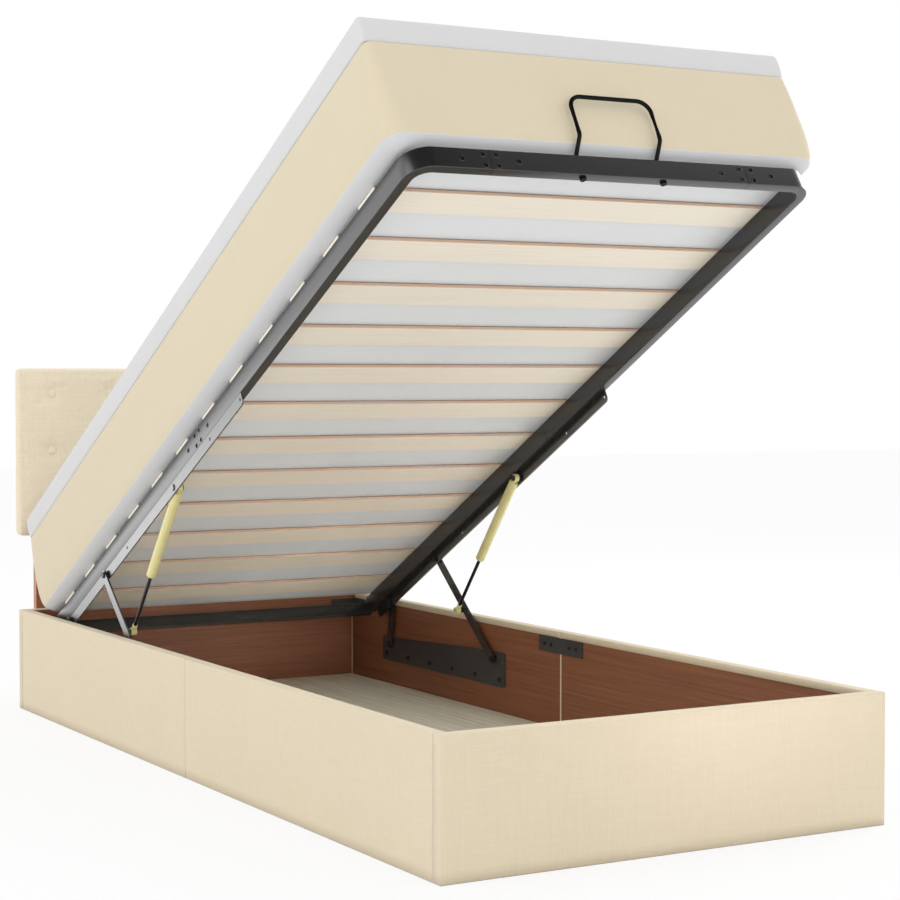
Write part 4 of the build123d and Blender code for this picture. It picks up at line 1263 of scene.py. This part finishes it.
class BED_OT_seam_screws(BedOperator, bpy.types.Operator):
    """Six sunk screws at each of the four seams of the tube frame"""
    bl_idname = "bed.seam_screws"
    bl_label = "Seam screws"

    def execute(self, context):
        sizes = context.scene.bed_steel
        level = sizes.top - sizes.height / 2 - sizes.screw_drop
        places = []
        for sign in (-1, 1):
            for along, rise in SCREW_PATTERN:
                places.append(((sign * sizes.foot_seam + along, -sizes.foot - sizes.proud, level + rise),
                               (0, -1, 0)))
                places.append(((sign * (sizes.side + sizes.proud), -sizes.side_seam - along, level + rise),
                               (sign, 0, 0)))
        found = finishes()
        shape = bpy.data.objects.new("screw_shape", sunk_screw(sizes.screw))
        mesh = grown(aimed_points(places), tree_named("set_on_points", aimed_tree),
                     {"Shape": shape, "Void": found["screw_void"], "Finish": found["frame_black"]}, PLATFORM)
        bpy.data.objects.remove(shape)
        finished("seam_screws", mesh, "platform")
        return {"FINISHED"}


class BED_OT_stop_loop(BedOperator, bpy.types.Operator):
    """Bent wire loop that holds the mattress at the foot"""
    bl_idname = "bed.stop_loop"
    bl_label = "Mattress stop"

    def execute(self, context):
        steel, sizes = context.scene.bed_steel, context.scene.bed_stop
        foot, low = steel.foot - steel.width / 2, steel.top + sizes.above
        out, knee = foot + sizes.out, low + sizes.knee
        half = [(foot, steel.top - steel.height - sizes.below), (foot, low), (out, knee),
                (out, knee + sizes.rise)]
        bends = [0.0, sizes.low_bend, sizes.knee_bend, sizes.top_bend]
        points = [(sizes.half, -reach, level) for reach, level in half]
        points += [(-x, y, level) for x, y, level in reversed(points)]
        line = bent_line(points, bends + bends[::-1])
        mesh = grown(line, tree_named("swept_tube", swept_tree),
                     {"Width": sizes.wire, "Height": sizes.wire, "Edge": sizes.wire * ROUND_SHARE,
                      "Segments": TUBE_STEPS, "Finish": finishes()["loop_black"]}, PLATFORM)
        mesh.shade_smooth()
        piece = finished("mattress_stop_wire", mesh, "platform")
        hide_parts("mattress_stop")
        return {"FINISHED"}


class BED_OT_steelwork(BedOperator, bpy.types.Operator):
    """Finishes of the lift mechanism, the brackets, the plates and the fasteners"""
    bl_idname = "bed.steelwork"
    bl_label = "Steelwork"

    def execute(self, context):
        found = finishes()
        for side, _ in SIDES:
            dress((f"hinge_rail_{side}", f"front_arm_{side}", f"rear_link_{side}"), found["rail_black"])
            dress((f"hinge_plate_{side}", f"rail_joiner_{side}"), found["bracket_black"])
            dress((f"strut_cylinder_{side}", f"rod_clevis_{side}"), found["strut_enamel"])
            dress((f"strut_rod_{side}",), found["rod_black"])
        dress(("frame_sleeves",), found["frame_black"])
        dress(("corner_brackets",), found["bracket_black"])
        dress(("stop_nuts",), found["loop_black"])
        dress(("base_pivots", "hinge_plate_bolts", "board_screws", "platform_pivots"),
              found["screw_black"])
        pivots = frame["nodes"]["platform_pivots"].data
        pivots.materials.append(found["rail_black"])
        strut_top = joint_place("strut_swing")
        outside, near = context.scene.bed_steel.side - 0.001, 0.02
        for face in pivots.polygons:
            if abs(face.center.x) > outside and (face.center.yz - strut_top.yz).length < near:
                face.material_index = 1
        return {"FINISHED"}


def lamp(name, place_at, aim_at, size, power, spread):
    """A large soft area lamp, which may throw a narrow beam"""
    data = bpy.data.lights.new(name, "AREA")
    data.shape = "DISK"
    data.size = size
    data.energy = power
    data.spread = math.radians(spread)
    made = bpy.data.objects.new(name, data)
    made.location = place_at
    made.rotation_euler = (Vector(aim_at) - Vector(place_at)).to_track_quat("-Z", "Y").to_euler()
    bpy.context.scene.collection.objects.link(made)


def looked_at(tree, whiteness):
    """1 for rays off a gloss or through glass, and a share for rays straight from the camera"""
    seen = node(tree, "ShaderNodeLightPath")
    direct = maths(tree, "MULTIPLY", seen.outputs["Is Camera Ray"], whiteness)
    direct = maths(tree, "MAXIMUM", direct, seen.outputs["Is Glossy Ray"])
    return maths(tree, "MAXIMUM", direct, seen.outputs["Is Transmission Ray"])


def lay_floor(sizes):
    """Pale floor that keeps the bed's shadow: partly a plain matt, partly an even glow"""
    form = bmesh.new()
    bmesh.ops.create_grid(form, x_segments=2, y_segments=2, size=14)
    floor = bpy.data.objects.new("floor", mesh_of(form, smooth=False))
    bpy.context.scene.collection.objects.link(floor)
    material, tree, surface = shader("pale_floor")
    coated(tree, surface, {"Base Color": (0.90, 0.90, 0.90, 1), "Roughness": 0.9, "Specular IOR Level": 0.1})
    seen = node(tree, "ShaderNodeLightPath")
    spot = node(tree, "ShaderNodeTexCoord")
    away = node(tree, "ShaderNodeVectorMath", {0: spot.outputs["Object"]}, operation="LENGTH")
    far = ranged(tree, away.outputs["Value"], 0.4, sizes.horizon - 1.0, 2.6, 5.5)
    strength = maths(tree, "ADD", maths(tree, "MULTIPLY", seen.outputs["Is Glossy Ray"], far), 1.0)
    glow = node(tree, "ShaderNodeEmission", {"Color": (1, 1, 1, 1), "Strength": strength})
    both = node(tree, "ShaderNodeMixShader", {"Fac": looked_at(tree, sizes.whiteness), 1: surface.outputs[0],
                                              2: glow.outputs[0]})
    tree.links.new(both.outputs[0], tree.nodes["Material Output"].inputs["Surface"])
    floor.data.materials.append(material)


def daylight_world(sizes):
    """Even light from all round, a white background, and walls and a ceiling for the steel to reflect"""
    world = bpy.data.worlds.new("daylight")
    world.use_nodes = True
    tree = world.node_tree
    tree.nodes.clear()
    outward = node(tree, "ShaderNodeTexCoord")
    parts = node(tree, "ShaderNodeSeparateXYZ", {"Vector": outward.outputs["Generated"]}).outputs
    height = ranged(tree, parts["Z"], 0.0, 1.0, 0.32, 0.64, "SMOOTHSTEP")
    across = ranged(tree, parts["X"], sizes.dim, sizes.ceiling, 0.485, 0.565, "SMOOTHSTEP")
    behind = ranged(tree, parts["Y"], sizes.near, sizes.wall, -0.25, 0.35, "SMOOTHSTEP")
    seen = node(tree, "ShaderNodeLightPath").outputs

    def mixed(factor, low, high):
        return node(tree, "ShaderNodeMix", {"Factor": factor, 2: low, 3: high}, data_type="FLOAT").outputs[0]

    level = mixed(seen["Is Glossy Ray"], mixed(height, sizes.daylight, sizes.overhead),
                  mixed(height, behind, across))
    light = node(tree, "ShaderNodeBackground", {"Color": (1, 1, 1, 1), "Strength": level})
    white = node(tree, "ShaderNodeBackground", {"Color": (1, 1, 1, 1), "Strength": 1.0})
    direct = maths(tree, "MAXIMUM", seen["Is Camera Ray"], seen["Is Transmission Ray"])
    both = node(tree, "ShaderNodeMixShader", {"Fac": direct, 1: light.outputs[0], 2: white.outputs[0]})
    end = node(tree, "ShaderNodeOutputWorld", {"Surface": both.outputs[0]})
    end.is_active_output = True
    return world


class BED_OT_stage(BedOperator, bpy.types.Operator):
    """Pale floor, even daylight, soft lamps and the photograph's camera"""
    bl_idname = "bed.stage"
    bl_label = "Stage"

    def execute(self, context):
        scene = context.scene
        sizes = scene.bed_stage
        lay_floor(sizes)
        scene.world = daylight_world(sizes)
        for name, place_at, aim_at, size, spread in LAMPS:
            lamp(f"{name}_lamp", place_at, aim_at, size, getattr(sizes, name), spread)

        camera = bpy.data.objects.new("camera", bpy.data.cameras.new("camera"))
        camera.location = sizes.eye
        camera.rotation_euler = (sizes.tilt, 0, sizes.heading)
        camera.data.lens = sizes.lens
        camera.data.sensor_width = 36
        camera.data.clip_end = 60
        scene.collection.objects.link(camera)
        scene.camera = camera
        scene.view_settings.view_transform = "Standard"
        return {"FINISHED"}


OPERATORS = (BED_OT_covers, BED_OT_boards, BED_OT_headboard_pad, BED_OT_headboard_buttons, BED_OT_mattress,
             BED_OT_topper, BED_OT_slats, BED_OT_tube_frame, BED_OT_seam_screws, BED_OT_stop_loop,
             BED_OT_steelwork, BED_OT_stage)


class BED_PT_panel(bpy.types.Panel):
    """Lists the bed's pieces and their sizes"""
    bl_idname = "BED_PT_panel"
    bl_label = "Ottoman bed"
    bl_space_type = "VIEW_3D"
    bl_region_type = "UI"
    bl_category = "Ottoman bed"

    def draw(self, context):
        for operator in OPERATORS:
            self.layout.operator(operator.bl_idname)
        for attribute, group in GROUPS:
            box = self.layout.box()
            for key in group.__annotations__:
                box.prop(getattr(context.scene, attribute), key)


def register():
    for _, group in GROUPS:
        bpy.utils.register_class(group)
    for operator in OPERATORS:
        bpy.utils.register_class(operator)
    bpy.utils.register_class(BED_PT_panel)
    for attribute, group in GROUPS:
        setattr(bpy.types.Scene, attribute, PointerProperty(type=group))


def unregister():
    for attribute, _ in GROUPS:
        delattr(bpy.types.Scene, attribute)
    bpy.utils.unregister_class(BED_PT_panel)
    for operator in reversed(OPERATORS):
        bpy.utils.unregister_class(operator)
    for _, group in reversed(GROUPS):
        bpy.utils.unregister_class(group)


def main():
    register()
    for operator in OPERATORS:
        group, name = operator.bl_idname.split(".")
        result = getattr(getattr(bpy.ops, group), name)()
        if result != {"FINISHED"}:
            raise RuntimeError(f"{operator.bl_idname} did not finish")


if __name__ == "__main__":
    main()
